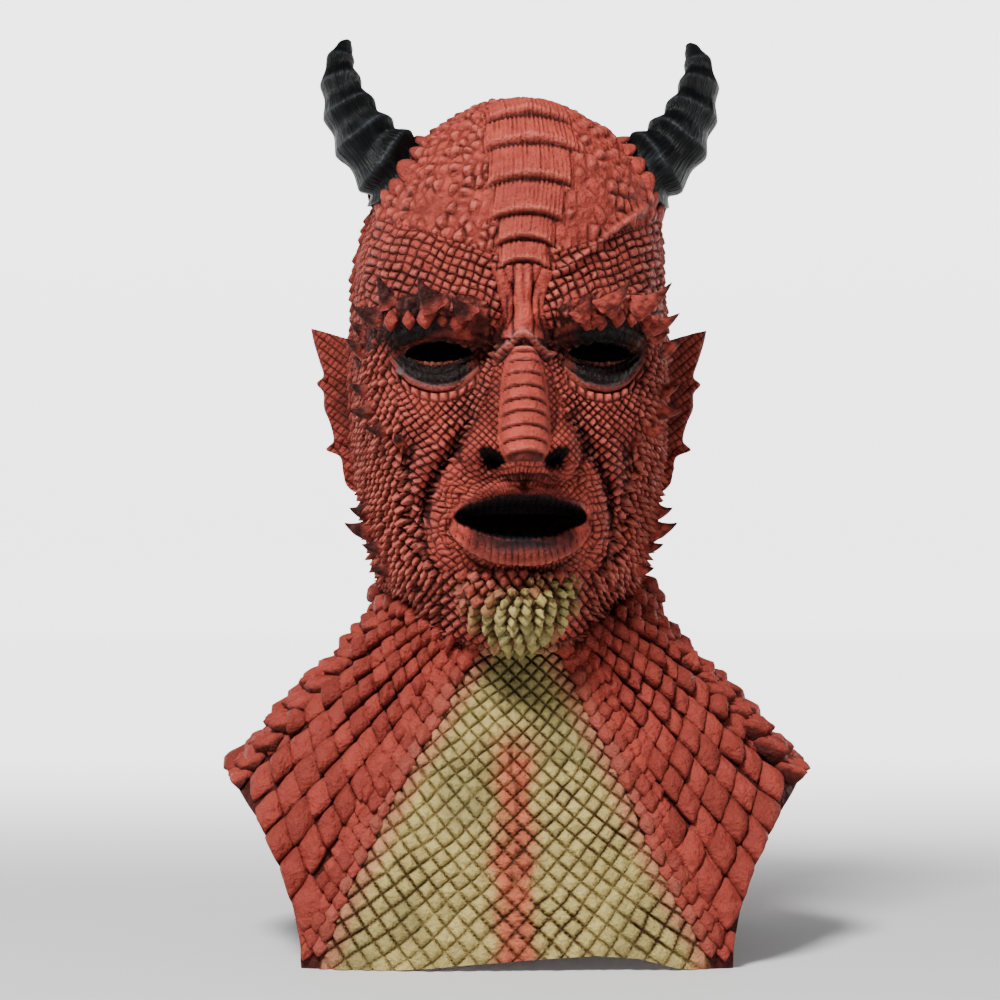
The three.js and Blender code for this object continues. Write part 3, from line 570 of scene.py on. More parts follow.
def lay_forehead(s):
    """A net running round the brow, pebbles above it, the smooth frown, and lumps along the brow."""
    x, z = np.abs(X), Z
    border = 345 + 0.38 * (x - 22)
    ahead = np.cos(P2) + 0.12 * (value_noise(BARE, 8, 88) - 0.5)
    weight = side(z, 303, 430, 1.5) * smooth(0.15, 0.45, ahead)
    edge, number = pebbles(BARE * (1, 1, 0.85), np.where(X < 2, 5.4, 6.6)[..., None], 11)
    height = np.where(X < 2, 1.5, 1.1) * (0.5 + 1.6 * number) * smooth(0, 0.3, edge)
    edge = edge + np.where(X < 2, 0.03, 0.08) + 0.2 * value_noise(BARE, 9, 93)
    s.lay(weight * smooth(border - 2, border + 2, z), height, edge, number)
    reach, along = brow_net()
    p = reach / FOREHEAD_CELL + 0.7 * value_noise(BARE, 11, 73) + 0.35 * value_noise(BARE, 4, 94)
    q = along / FOREHEAD_CELL + 0.7 * value_noise(BARE, 11, 74) + 0.35 * value_noise(BARE, 4, 95)
    edge, down, number = lattice(p, q)
    fan = weight * smooth(border + 2, border - 2, z) * smooth(0.28, 0.4, ahead)
    lean = 0.9 * (hashed(np.floor(p), np.floor(q), 96) - 0.5) * (down - 0.5)
    rise = (0.7 + 1.3 * number + 2 * lean) * smooth(0, 0.26, edge)
    s.lay(fan, rise, edge, number, net=(p, q), strength=0.6)
    crease = np.interp(z, FROWN_Z, FROWN_HALF)
    frown = side(x, -1, crease, 0.6) * side(z, 300, 338, 2)
    groove = bell(X - 0.4, 0.5) * smooth(316, 324, z) + 1.3 * bell(x - 4.4, 0.7)
    groove = groove + 1.1 * bell(x - 0.72 * crease, 0.6) * smooth(328, 320, z)
    level = 0.9 - groove + 0.9 * value_noise(BARE * (1.6, 1, 0.5), 2.5, 97)
    s.lay(frown, level, 0.4 - 0.25 * groove, 0.4 * number, seam=False)
    # a raised line from the right brow up to the temple
    slant = z - np.interp(X, [16, 24, 55, 66], [334, 338, 365.5, 372])
    s.height = s.height + 2.4 * bell(slant, 2.2) * side(X, 16, 60, 5) * FRONT
    # rocky lumps along the brow
    edge, number = pebbles(BARE * (1, 0.8, 1), 4.4, 91)
    lumps = smooth(9.0, 5.0, np.abs(z - brow_line(x) + 1.5)) * side(x, 16, 78, 3)
    rise = (0.5 + 3.4 * number) * smooth(0, 0.4, edge) + 1.1 * value_noise(BARE, 1.8, 92)
    s.lay(lumps, rise, edge, number, seam=False)


def lay_cheeks(s):
    """Fine net on the cheeks, in bands round the eye."""
    x, z = np.abs(X), Z
    radius = np.hypot(x - 36, z - 350)
    angle = np.arctan2(x - 36, 350 - z)
    warp = 1.8 * (value_noise(BARE, 12, 73) - 0.5) + 1.4 * (value_noise(BARE, 4, 99) - 0.5)
    p, q = rhombs(angle * 92 + warp, radius - warp, 4.8, 4.4)
    outer = np.interp(z, [196, 225, 245, 270, 290], [47, 50, 54, 58, 60])
    inside = smooth(outer + 2, outer - 2, x) * side(z, 222, 292, 2) * smooth(0.15, 0.4, np.cos(P2))
    s.lay(inside, *scales(p, q, 1.3, 0.5, 0.26), net=(p, q), strength=0.6, seam=False)


def lay_mouth(s):
    """Lines that run into the mouth, crossed by rings, and the grooved lips."""
    x, z = np.abs(X), Z
    furrow = np.interp(z, [186, 190, 200, 216, 233, 242], [34, 39, 44, 46.5, 43, 36])
    weight = smooth(furrow + 1.5, furrow - 1.5, x) * side(z, 190, 243, 1.5)
    angle = np.arctan2(X, z - 216)
    radius = np.hypot(X / 1.25, z - 216)
    p = angle * 80 / (2 * math.pi) + 1.6 * value_noise(BARE, 9, 74) + 0.8 * value_noise(BARE, 4, 77)
    q = radius / 2.9 + 1.9 * value_noise(BARE, 10, 75) + 0.8 * value_noise(BARE, 4, 78)
    edge, _, number = lattice(p, q)
    rise = (0.5 + 1.1 * number) * smooth(0, 0.34, edge)
    s.lay(weight, rise, edge + 0.08, number, net=(p, q), strength=0.45, seam=False)
    gape = np.maximum(1 - (x / 34.5) ** 2, 0)
    low_edge = 213 - 18.5 * gape**0.6
    lips = np.minimum(np.minimum(219 + 8.5 * gape**0.5 - z, z - low_edge), (34 - x) * 2)
    grooves = np.abs(np.cos((X + 1.5 * value_noise(BARE, 7, 76)) * math.pi / 3.1)) ** 0.5
    rim = 1.3 * bell(z - low_edge - 1.6, 1.3) * smooth(216, 208, z)
    s.lay(smooth(-1.2, 1.2, lips), 0.9 * grooves * smooth(31, 25, x) + 0.2 + rim, 0.5 * grooves, number)


def lay_chin(s):
    """Pointed scales on the chin."""
    p, q = rhombs(X + 1.5 * value_noise(BARE, 9, 77), Z, 5.6, -6.0)
    weight = side(np.abs(X), -1, 36, 2) * side(Z, 140, 191, 2) * smooth(13.2, 12.6, V)
    s.lay(weight, *scales(p, q, 1.7, 0.8, 0.3), net=(p, q), strength=0.5)


NOSE_EDGES = [247.5, 253.1, 259.7, 266.3, 272.1, 278.4, 284.6, 290.6, 294.6, 300]


def lay_nose(s):
    """A fine net on the sides of the nose, plates down its ridge and the folded skin over its root."""
    x, z = np.abs(X), Z
    p, q = rhombs(X, z, 3.6, -3.6)
    reach = np.interp(z, [238, 250, 262, 280, 300], [30, 29, 22, 15, 10])
    weight = smooth(-1.5, 1.5, reach - x) * side(z, 240, 302, 1.5)
    s.lay(weight, *scales(p, q, 0.65, 0.2, 0.35), net=(p, q), strength=0.5, seam=False)
    # plates down the ridge, each overlapping the one below
    arched = z + 2.6 * (x / 10) ** 2
    level = np.interp(arched, NOSE_EDGES, np.arange(len(NOSE_EDGES)))
    into = level - np.floor(level)
    half = np.interp(z, [238, 243, 248, 254, 265, 281, 288, 300], [5, 9, 11.5, 12.8, 12, 10.8, 9, 7])
    edge = np.minimum(into, 1.15 - into) + smooth(0, 1, (x - half + 4) / 4) * 0.2
    height = 2.2 * smooth(0, 0.2, into) * (1 - 0.6 * into) * smooth(0, 5, half - x) + 0.5
    weight = smooth(-0.6, 0.6, half - x) * side(z, 241, 298, 1)
    height = height + 0.3 * value_noise(BARE, 2.2, 46)
    s.lay(weight, height, edge, 0.4 * hashed(np.floor(level), 5), seam=False)
    chevron = z - 304.5 + 0.9 * x
    fold = 2.2 * bell(chevron, 1.7) - 1.2 * bell(chevron + 3.4, 1.3)
    fold = fold * (0.6 + 0.8 * value_noise(BARE, 2.2, 47))
    s.height = s.height + fold * smooth(19, 12, x) * FRONT


# Heights of the crest plates' edges, and half the crest's width there.
CREST_EDGES = [337, 348, 360, 377, 395.5, 410.5, 427]
CREST_HALF = [13.5, 15.5, 19, 22.5, 24.5, 22, 14]


def lay_crest(s):
    """Plates from the brow over the crown; their lower edges stand proud."""
    x, z = np.abs(X - 0.5), Z
    half = np.interp(z, CREST_EDGES, CREST_HALF)
    arched = z + 4.5 * (x / half) ** 2 - 1.2
    level = np.interp(arched, CREST_EDGES, np.arange(len(CREST_EDGES)))
    into = level - np.floor(level)
    start = np.interp(np.floor(level), np.arange(len(CREST_EDGES)), CREST_HALF)
    rim = start * (1 - 0.12 * into) - x + 2.0 * (value_noise(BARE, 5, 84) - 0.5)
    bulge = smooth(0, 0.16, into) * (1 - 0.85 * into**1.5)
    height = 4.2 * bulge * smooth(-0.5, 3.6, rim) * (1 - 0.45 * (x / start) ** 2)
    ridge = 1.6 * bell(x, 4.0) * (1 - into) * smooth(360, 400, z)
    worn = value_noise(np.stack([X * 6, z, 0 * x], -1), 7, 78)
    lines = (0.85 * worn - 0.1) * np.cos((X + 0.8 * value_noise(BARE, 12, 79)) * 2 * math.pi / 2.1)
    edge = np.minimum(np.minimum(into * 1.6, 0.5), 0.12 + np.clip(rim, 0, 6) / 8)
    weight = smooth(-0.8, 0.8, rim) * side(arched, 337, 424, 0.8) * smooth(0, 0.3, np.cos(P2))
    s.lay(weight, height + ridge + lines, edge, 0.6 * hashed(np.floor(level), 8), seam=False)


# The fold under the eye, a line of x and z.
BAG_X = [14, 18, 22, 30, 36, 41, 47, 53, 58, 64]
BAG_Z = [300, 295, 290, 284.5, 283, 282.5, 283.8, 287, 293, 302]
BEAD_X, BEAD_Z = -56, 287  # a bead on the outer end of one of them


def bag_distance():
    """How far below the fold under the eye, and 1 near it."""
    x = np.abs(X)
    return np.interp(x, BAG_X, BAG_Z) - Z, side(x, 20, 62, 2) * side(Z, 262, 304, 2)


def on_bag():
    """1 along the black part of the fold under the eye."""
    return side(np.abs(X), 24.5, 59, 2.5)


def eye_bead(radius):
    return np.exp(-(((X - BEAD_X) ** 2 + (Z - BEAD_Z) ** 2) / radius**2) ** 2)


def lay_eyes(s):
    """Under the eyes two wrinkled folds, a smooth ridge and a row of beads; folds in the lids."""
    below, near = bag_distance()
    x = np.abs(X)
    fine = 0.7 * np.abs(np.cos((x + 1.5 * value_noise(BARE, 4, 80)) * math.pi / 2.4))
    folds = 1.7 * bell(below + 4.4, 1.3) + 1.9 * bell(below + 0.6, 1.4)
    flat = np.full(x.shape, 0.5)
    s.lay(near * side(below, -6.4, 1.8, 0.5), folds + fine, flat, 0.3 * flat)
    s.lay(near * side(below, 1.8, 6.4, 0.5), 1.8 * bell(below - 4.2, 1.4) + 0.2 * fine, flat, flat)
    p, q = x / 4.4, (below - 6.4) / 4.6
    edge, _, number = lattice(p, q)
    s.lay(near * side(below, 6.4, 11, 0.4), 1.9 * smooth(0, 0.4, edge), edge, number)
    s.height = s.height + 1.5 * eye_bead(1.9) * FRONT
    arch = Z - 301.5 + 0.010 * (x - 37) ** 2
    lids = smooth(25, 21, np.abs(x - 38)) * side(arch, 0.5, 11, 0.8)
    layers = 1.4 * np.abs(np.cos(arch * math.pi / 4.2)) ** 0.6 + 0.8 * value_noise(BARE, 2.4, 81)
    s.lay(lids, layers, flat, number)


# The chest's yellow field: its borders on both sides, by height.
YELLOW_Z = [0, 9, 33, 57, 85.8, 119.4, 150.6]
YELLOW_LEFT = [-94, -92.2, -82.6, -70.6, -56.2, -37, -18.8]
YELLOW_RIGHT = [92, 90.2, 76, 63.8, 51.8, 35, 20.6]


BORDER_SLANT = 0.92  # distance from the border for a distance of 1 across


def yellow_depth(x, y, z):
    """How far inside the chest's yellow field, negative outside it."""
    left = x - np.interp(z, YELLOW_Z, YELLOW_LEFT)
    right = np.interp(z, YELLOW_Z, YELLOW_RIGHT) - x
    return np.where(y < 0, np.minimum(left, right) * BORDER_SLANT, -50)


CHEST_APEX_Z = 400  # the chest's net widens away from here
CHEST_NET = 34.5  # cells in a radian
NECK_SCALES = 88  # round the neck


def lay_bib(s):
    """Rhomb scales under the chin, a plain ground below them and the chest's diagonal net."""
    below = smooth(12.2, 12.6, V)
    pitch = np.linalg.norm(np.diff(BARE, axis=1), axis=-1).sum(1)[:, None] / NECK_SCALES
    steps = np.diff(DOWN, axis=0) / ((pitch[1:] + pitch[:-1]) / 2)
    along = np.cumsum(np.vstack([np.zeros((1, V.shape[1])), steps]), 0)
    p, q = rhombs(P2 * NECK_SCALES / (2 * math.pi), along, 1.0, 1.25)
    under_chin = smooth(13.4, 13.2, V)
    rise, edge, number = scales(p, q, 2.2, 0.85)
    s.lay(below, rise * under_chin, np.where(under_chin > 0, edge, 0.5), number, all_round=True)
    x = LOCAL[..., 0]
    depth = yellow_depth(x, LOCAL[..., 1], Z)
    warp = 3.4 * (value_noise(BARE, 30, 82) - 0.5) + 1.2 * (value_noise(BARE, 9, 83) - 0.5)
    angle = np.arctan2(x + 1 + warp, CHEST_APEX_Z - Z)
    reach = np.log(np.hypot(x + 1, CHEST_APEX_Z - Z + warp))
    p, q = (reach + angle) * CHEST_NET, (reach - angle) * CHEST_NET
    edge, _, number = lattice(p, q)
    pillow = smooth(0, 0.19, edge) * (1.5 + 1.2 * number) + 0.5 * smooth(0.1, 0.5, edge)
    s.lay(below * smooth(-1.5, 1.5, depth), pillow, edge, number, net=(p, q), strength=0.8)


surface = Surface(V.shape)
for lay_zone in (lay_head, lay_forehead, lay_cheeks, lay_nose, lay_mouth, lay_chin, lay_crest, lay_eyes,
                 lay_bib):
    lay_zone(surface)

# The relief stands on the smooth form; both grids share their columns and rows. It is lower around
# the crown's point, and the last column meets the first.
FORM = turn_head(LOCAL, V)
FORM_NORMALS = grid_normals(FORM)
uneven = value_noise(FORM, 14, 5) + 0.5 * value_noise(FORM, 6, 6)
surface.height *= 0.35 + 0.65 * smooth(0.5, 2.5, V)
surface.height[:, -1] = surface.height[:, 0]
SKIN = FORM + FORM_NORMALS * (surface.height + 0.9 * (uneven - 0.75))[..., None]
SKIN[:, -1] = SKIN[:, 0]
NORMALS = grid_normals(SKIN)

# Paint

RED = np.array([0.44, 0.067, 0.047])
DARK_RED = np.array([0.098, 0.015, 0.011])
PINK = np.array([0.50, 0.155, 0.105])
BLACK = np.array([0.008, 0.006, 0.006])
BLUE_BLACK = np.array([0.025, 0.025, 0.04])
BROWN = np.array([0.10, 0.035, 0.015])
CREAM = np.array([0.55, 0.44, 0.155])
OLIVE = np.array([0.22, 0.19, 0.075])
GREY = np.array([0.30, 0.27, 0.27])
LINING = np.array([0.12, 0.022, 0.016])


def mix(a, b, share):
    share = np.clip(np.asarray(share), 0, 1)[..., None]
    return a * (1 - share) + b * share


def painted_ground():
    """Red with painted shade in the folds, a dark wash with painted shade in the gaps between the scales,
    and painted highlights, partly worn paint, on the raised tops.
    """
    x, z = np.abs(X), Z
    depth = LOCAL[..., 1] * -1
    hollow = blur(blur(depth, 7, 7), 5, 5) - depth  # positive in folds
    hollow = hollow + 0.6 * (blur(depth, 22, 22) - depth)
    hollow = hollow * (1 - 0.8 * smooth(26, 18, x) * side(z, 256, 296, 6))  # little beside the nose
    hollow = hollow * SHARE
    small_hollow = blur(surface.height, 3, 3) - surface.height
    rough = value_noise(FORM, 9, 41)
    paint = mix(RED, DARK_RED, 0.25 + 0.5 * (rough - 0.5))
    # painted shade: darker red in the face's folds and black in the deepest; painted highlight: lighter
    # red on its rounded parts
    paint = mix(paint, DARK_RED, smooth(0.1, 2.0, hollow) * 0.92)
    paint = mix(paint, BLACK, smooth(1.4, 4.0, hollow) * 0.55)
    paint = mix(paint, RED * 1.2, smooth(0.3, 2.0, -hollow) * 0.7)
    paint = mix(paint, paint * 0.72, surface.number)
    # the gaps between scales and the small hollows get a dark wash with painted shade
    wash_and_shade = DARK_RED * 0.28
    stain = 0.5 + 0.7 * value_noise(FORM, 16, 42)
    paint = mix(paint, wash_and_shade, smooth(0.26, 0.04, surface.edge) * stain * np.where(z > 335, 0.7, 0.95))
    paint = mix(paint, wash_and_shade, smooth(0.1, 0.9, small_hollow) * 0.95)
    # painted highlight on the small raised parts, in part worn paint
    paint = mix(paint, RED * (1.3, 2.1, 2.2), smooth(0.2, 1.0, -small_hollow) * 0.6 * FRONT)
    return paint, mix(paint, mix(DARK_RED * 1.6, RED * 0.8, rough), 0.5)


def paint_eyes(paint):
    """Brown brow, a painted shadow under it, dark paint with painted shadow in the hoods over the eyes,
    painted shade in the inner corners, the black fold under each eye and the grey bead.
    """
    x, z = np.abs(X), Z
    on_brow = smooth(12, 5, np.abs(z - brow_line(x) + 1)) * side(x, 15, 78, 3)
    brown = mix(DARK_RED * 0.5, BLACK, value_noise(FORM, 3, 48))
    on_brow = on_brow * np.where(X < 0, 0.75, 0.3)
    paint = mix(paint, brown, on_brow * (0.3 + 1.1 * value_noise(FORM, 6, 43)))
    # painted shadow under the overhanging brow
    shadow_under_brow = smooth(8, 2, np.abs(z - brow_line(x) + 9.5)) * side(x, np.where(X < 0, 36, 25), 62, 4)
    paint = mix(paint, BLACK * 0.6, shadow_under_brow * 0.92)
    below, near = bag_distance()
    paint = mix(paint, DARK_RED * 0.7, near * side(below, -6.6, 2.2, 0.7) * 0.8)
    paint = mix(paint, BLACK * 0.8, near * on_bag() * side(below, -6.6, 2.2, 0.7) * 0.97)
    paint = mix(paint, DARK_RED * 0.8, near * side(below, 2.2, 6.2, 0.8) * 0.5)
    paint = mix(paint, GREY * 0.4, near * bell(below - 2.6, 0.5) * 0.5)
    paint = mix(paint, PINK * 0.5, near * bell(below + 8, 0.8) * smooth(24, 20, np.abs(x - EYE_X)) * 0.8)
    paint = mix(paint, GREY * 0.35, eye_bead(1.6))
    # the hood over each eye: dark paint together with painted shadow under the brow
    hood_x, hood_half = np.where(X < 0, 49, 40), np.where(X < 0, 16, 19)
    hood = spot(x - hood_x, hood_half, z - 304.5, 6.5, 4)
    paint = mix(paint, BLACK * 0.8, hood * np.where(X < 0, 0.9, 0.94))
    lid = bell(z - 306.8 + 0.012 * (x - 28) ** 2, 1.5) * smooth(-20, -26, X)
    paint = mix(paint, RED * 0.35, lid * 0.75)
    # painted shade in the hollow at each eye's inner corner
    paint = mix(paint, DARK_RED * 0.3, spot(x - 19, 6, z - 297, 7) * 0.6)
    root = bell(z - 306 + 0.9 * x, 3) * smooth(15, 4, x) * side(z, 288, 307, 3)
    return mix(paint, GREY, root * 0.2)


def paint_mouth(paint):
    """Dark inside and lips, a painted shadow under the lower lip, the nostrils, and the ground under the
    beard darkened as painted shade.
    """
    x, z = np.abs(X), Z
    gape = np.maximum(1 - (x / 32) ** 2, 0)
    lip_top, lip_low = 217.5 + 10 * gape**0.6, 215.5 - 10.5 * gape**0.75
    inside = smooth(-0.5, 0.3, np.minimum(lip_top - z, z - lip_low)) * smooth(33, 31, x)
    paint = mix(paint, BLACK * 0.4, inside * 0.98)
    paint = mix(paint, BLUE_BLACK, spot(X - 1, 16, z - 203.5, 2.6) * 0.8)
    bow = z - np.interp(x, [0, 6, 16, 26, 31, 34], [230.8, 232.6, 231, 225, 219.5, 214])
    dark_lip = smooth(0.5, -0.5, bow) * smooth(-2, 0, z - lip_top) * smooth(35, 31, x)
    lip = mix(DARK_RED * 0.9, RED * 0.5, value_noise(FORM * (1, 1, 0.3), 2.4, 44))
    paint = mix(paint, mix(lip, BLACK * 0.6, smooth(1.2, 0.2, z - lip_top)), dark_lip * 0.88)
    inner_lip = smooth(12, 2, lip_low - z) * smooth(0, 0.5, lip_low - z) * smooth(29, 22, x)
    streaks = value_noise(FORM * (1, 1, 0.3), 2.4, 45)
    paint = mix(paint, BLACK * 1.2, inner_lip * (0.7 + 0.4 * streaks))
    # painted shadow under the lower lip
    shadow_under_lip = bell(z - 189.5 - 0.012 * x**2, 3.2) * smooth(30, 20, x)
    paint = mix(paint, DARK_RED * 0.5, shadow_under_lip * 0.7)
    along, beside = nostril_axes(x, z)
    paint = mix(paint, BLACK * 0.4, smooth(1.5, 0.9, (along / 6.6) ** 2 + (beside / 3.5) ** 2) * 0.98)
    # the ground between and under the beard's scales is darkened as painted shade
    beard = smooth(36, 26, x + (182 - z) * 0.7) * side(z, 150, 188, 3)
    return mix(paint, OLIVE * 0.3, beard * smooth(190, 176, z) * 0.8)


def paint_chest(paint):
    """Cream field with its red streak and cracks; the ground under the scales beside it is darkened as
    painted shade.
    """
    x = LOCAL[..., 0]
    field = yellow_depth(x, LOCAL[..., 1], Z)
    on_chest = smooth(12.3, 12.8, V)
    # painted shade on the ground under the free-standing scales
    paint = mix(paint, DARK_RED * 0.4, on_chest * 0.9)
    cream = mix(CREAM, OLIVE, smooth(0.52, 0.78, value_noise(FORM, 26, 51)) * 0.55)
    cream = mix(cream, OLIVE * 0.7, smooth(105, 150, Z) * 0.45)
    cream = mix(cream, PINK, smooth(13, 3, field) * 0.7)
    wander = 5 * (value_noise(FORM, 16, 54) - 0.5)
    streak = bell(x + 1 + wander, 8 + 4 * value_noise(FORM, 13, 52), 3)
    streak = streak * smooth(120, 92, Z) * (0.55 + 0.6 * value_noise(FORM, 7, 55))
    streak = np.clip(streak * 1.3 * (0.6 + 0.7 * value_noise(FORM, 4, 58)), 0, 0.9)
    cream = mix(cream, RED * (1.25, 1.7, 1.4), streak)
    crack = bell(x + 1 + 7 * (value_noise(FORM, 12, 56) - 0.5), 0.9) * smooth(112, 100, Z)
    cream = mix(cream, BROWN * 0.6, crack * smooth(0.3, 0.5, value_noise(FORM, 9, 57)) * 0.8)
    paint = mix(paint, cream, on_chest * smooth(-1.5, 2, field))
    uneven = mix(paint, paint * 0.8, surface.number * on_chest)
    paint = np.where((on_chest * field > 0)[..., None], uneven, paint)
    groove = smooth(0.15, 0.03, surface.edge) * on_chest * smooth(-1, 1, field)
    return mix(paint, BROWN * 0.7, groove * (0.3 + 0.7 * smooth(0.3, 0.7, value_noise(FORM, 22, 53))))


def gloss_skin():
    """Shine of the skin: more on the black under the eyes, less inside mouth and nostrils."""
    below, near = bag_distance()
    x = np.abs(X)
    wet = near * on_bag() * side(below, -6, 3, 1)
    lip_top = 217.5 + 9 * np.maximum(1 - (x / 32) ** 2, 0) ** 0.6
    mouth = smooth(0, 1.5, lip_top - Z) * smooth(200, 204, Z)
    nostril = spot(x - NOSTRIL_X, 8, Z - NOSTRIL_Z, 6)
    return np.clip(0.22 * wet, 0, 0.22) - 0.4 * np.clip(mouth * smooth(33, 30, x) + nostril, 0, 1)


ground, plain = painted_ground()
PAINT = paint_chest(mix(plain, paint_mouth(paint_eyes(ground)), FRONT))
GLOSS = gloss_skin()


# Materials

class Shade:
    """A new principled material, and short ways to build its nodes."""

    def __init__(self, name):
        self.material = bpy.data.materials.new(name)
        self.material.use_nodes = True
        self.tree = self.material.node_tree
        self.tree.nodes.clear()
        self.shader = self.tree.nodes.new("ShaderNodeBsdfPrincipled")
        out = self.tree.nodes.new("ShaderNodeOutputMaterial")
        self.tree.links.new(self.shader.outputs[0], out.inputs[0])
        self.place = self.tree.nodes.new("ShaderNodeTexCoord").outputs["Object"]

    def node(self, kind, inputs, **settings):
        """A node with its settings, and its inputs set to numbers, colours or other nodes' sockets."""
        n = self.tree.nodes.new("ShaderNode" + kind)
        for name, value in settings.items():
            setattr(n, name, value)
        for key, value in inputs.items():
            self.put(n, key, value)
        return n.outputs

    def put(self, n, key, value):
        if isinstance(value, bpy.types.NodeSocket):
            self.tree.links.new(value, n.inputs[key])
        else:
            n.inputs[key].default_value = value

    def set(self, **inputs):
        """Sets inputs of the shader itself."""
        for name, value in inputs.items():
            self.put(self.shader, name.replace("_", " "), value)

    def attribute(self, name):
        return self.node("Attribute", {}, attribute_name=name)

    def maths(self, operation, *values):
        return self.node("Math", dict(enumerate(values)), operation=operation)[0]

    def times(self, *values):
        return self.maths("MULTIPLY", *values)

    def mixed(self, share, a, b, blend="MIX"):
        inputs = {0: share, 6: a, 7: b}
        return self.node("Mix", inputs, data_type="RGBA", blend_type=blend, clamp_factor=True)[2]

    def ramp(self, value, low, high, to_low=0.0, to_high=1.0):
        inputs = dict(enumerate((value, low, high, to_low, to_high)))
        return self.node("MapRange", inputs, interpolation_type="SMOOTHSTEP")[0]

    def noise(self, scale, detail=3.0, place=None):
        inputs = {"Vector": place or self.place, "Scale": scale, "Detail": detail}
        return self.node("TexNoise", inputs)[0]

    def bump(self, height):
        self.set(Normal=self.node("Bump", {"Strength": 0.9, "Distance": 0.0014, "Height": height})[0])


def latex_material():
    """Painted latex: vertex paint, the net's dark lines, blotches, fine pores and worn gloss."""
    m = Shade("painted latex")
    net = m.node("SeparateXYZ", {"Vector": m.attribute("net")["Vector"]})
    wobble = m.times(m.maths("SUBTRACT", m.noise(420.0, 2.0), 0.5), 0.16)
    edges = []
    for k in (0, 1):
        part = m.maths("FRACT", m.maths("ADD", net[k], wobble))
        edges.append(m.maths("MINIMUM", part, m.maths("SUBTRACT", 1.0, part)))
    worn = m.ramp(m.noise(160.0), 0.3, 0.62, 0.25, 1.0)
    line = m.times(m.times(m.ramp(m.maths("MINIMUM", *edges), 0.01, 0.10, 1.0, 0.0), net[2]), worn)
    blotch = m.ramp(m.noise(130.0, 5.0), 0.35, 0.7)
    fine = m.ramp(m.noise(900.0, 4.0), 0.3, 0.75)
    colour = m.attribute("paint")["Color"]
    for share, amount, darker in ((blotch, 0.5, (0.62, 0.55, 0.55, 1)), (fine, 0.3, (0.7, 0.62, 0.6, 1)),
                                  (line, 0.75, (0.2, 0.13, 0.11, 1))):
        colour = m.mixed(m.times(share, amount), colour, darker, "MULTIPLY")
    rough = m.ramp(m.noise(200.0, 4.0), 0.3, 0.7, 0.5, 0.72)
    rough = m.maths("SUBTRACT", rough, m.attribute("gloss")["Fac"])
    m.set(Base_Color=colour, Roughness=rough, Specular_IOR_Level=0.13)
    pores = m.maths("ADD", m.noise(650.0, 6.0), m.times(m.noise(230.0), 2.2))
    m.bump(m.maths("ADD", pores, m.times(line, -0.9)))
    return m.material


def horn_material():
    """Black cast horn with fine lengthwise lines and a blue-grey dry-brushed bloom."""
    m = Shade("black horn")
    fibres = m.noise(1.0, 4.0, m.attribute("net")["Vector"])
    bloom = m.times(m.ramp(m.noise(60.0, 5.0), 0.45, 0.75), 0.6)
    share = m.times(m.ramp(fibres, 0.35, 0.7), bloom)
    colour = m.mixed(share, m.attribute("paint")["Color"], (0.05, 0.06, 0.068, 1))
    rough = m.ramp(m.noise(150.0, 4.0), 0.3, 0.7, 0.3, 0.45)
    m.set(Base_Color=colour, Roughness=rough, Specular_IOR_Level=0.12)
    m.bump(fibres)
    return m.material


LATEX = latex_material()
HORN = horn_material()


# Meshes

def add_piece(name, points, faces, paint, net=0.0, gloss=0.0, normals=None, material=LATEX,
              nodes=("mask_skin",), slot="latex"):
    """Writes a mesh in metres with its paint, net and gloss, and ties it to the frame."""
    mesh = bpy.data.meshes.new(name)
    placed = (np.asarray(points) + FORM_SHIFT) * MM
    mesh.from_pydata(placed.tolist(), [], [tuple(int(i) for i in f) for f in faces])
    count = len(mesh.vertices)
    rgba = np.ones((count, 4))
    rgba[:, :3] = paint
    for attribute, kind, field, value in (
            ("paint", "FLOAT_COLOR", "color", rgba),
            ("net", "FLOAT_VECTOR", "vector", np.broadcast_to(net, (count, 3))),
            ("gloss", "FLOAT", "value", np.broadcast_to(gloss, (count,)))):
        data = mesh.attributes.new(attribute, kind, "POINT").data
        data.foreach_set(field, value.astype(np.float32).ravel())
    mesh.polygons.foreach_set("use_smooth", np.ones(len(mesh.polygons), bool))
    mesh.materials.append(material)
    mesh.update()
    if normals is not None:
        mesh.normals_split_custom_set_from_vertices(normals.tolist())
    piece = bpy.data.objects.new(name, mesh)
    bpy.context.scene.collection.objects.link(piece)
    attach(piece, "root")
    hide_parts(*nodes)


def grid_faces(rows, cols, wrap=False):
    """Faces of a grid of points, numbered row by row; with wrap the last column joins the first."""
    r, c = np.meshgrid(np.arange(rows - 1), np.arange(cols if wrap else cols - 1), indexing="ij")
    d = (c + 1) % cols
    a, b = r * cols + c, r * cols + d
    return np.stack([a, a + cols, b + cols, b], -1).reshape(-1, 4)


def disc_faces(rings, around):
    """Faces of rings of points round a first point."""
    fan = [(0, 1 + k, 1 + (k + 1) % around) for k in range(around)]
    return fan + [tuple(f) for f in grid_faces(rings, around, wrap=True) + 1]


def tip_faces(last, tip, around):
    """Faces that close the ring of points which begins with the number last."""
    return [(last + k, tip, last + (k + 1) % around) for k in range(around)]


# Holes: grid vertices near a hole's edge are moved onto it, and the faces inside are left out.

RIM_REACH = 0.47  # vertices nearer than this to a hole's edge are moved onto it


def hole_edges(hole, u):
    """Heights of a hole's lower and upper edge; u is -1 and 1 at its corners."""
    arc = 1 - u * u
    return hole["low"] - hole["drop"] * arc**0.7, hole["top"] + hole["rise"] * arc**0.6


def hole_outline(hole, count=300):
    """Points of x and z all round a hole."""
    u = np.linspace(-1, 1, count)
    low, top = hole_edges(hole, u)
    x = hole["x"] + hole["half"] * u
    return np.concatenate([np.stack([x, low], 1), np.stack([x[::-1], top[::-1]], 1)])


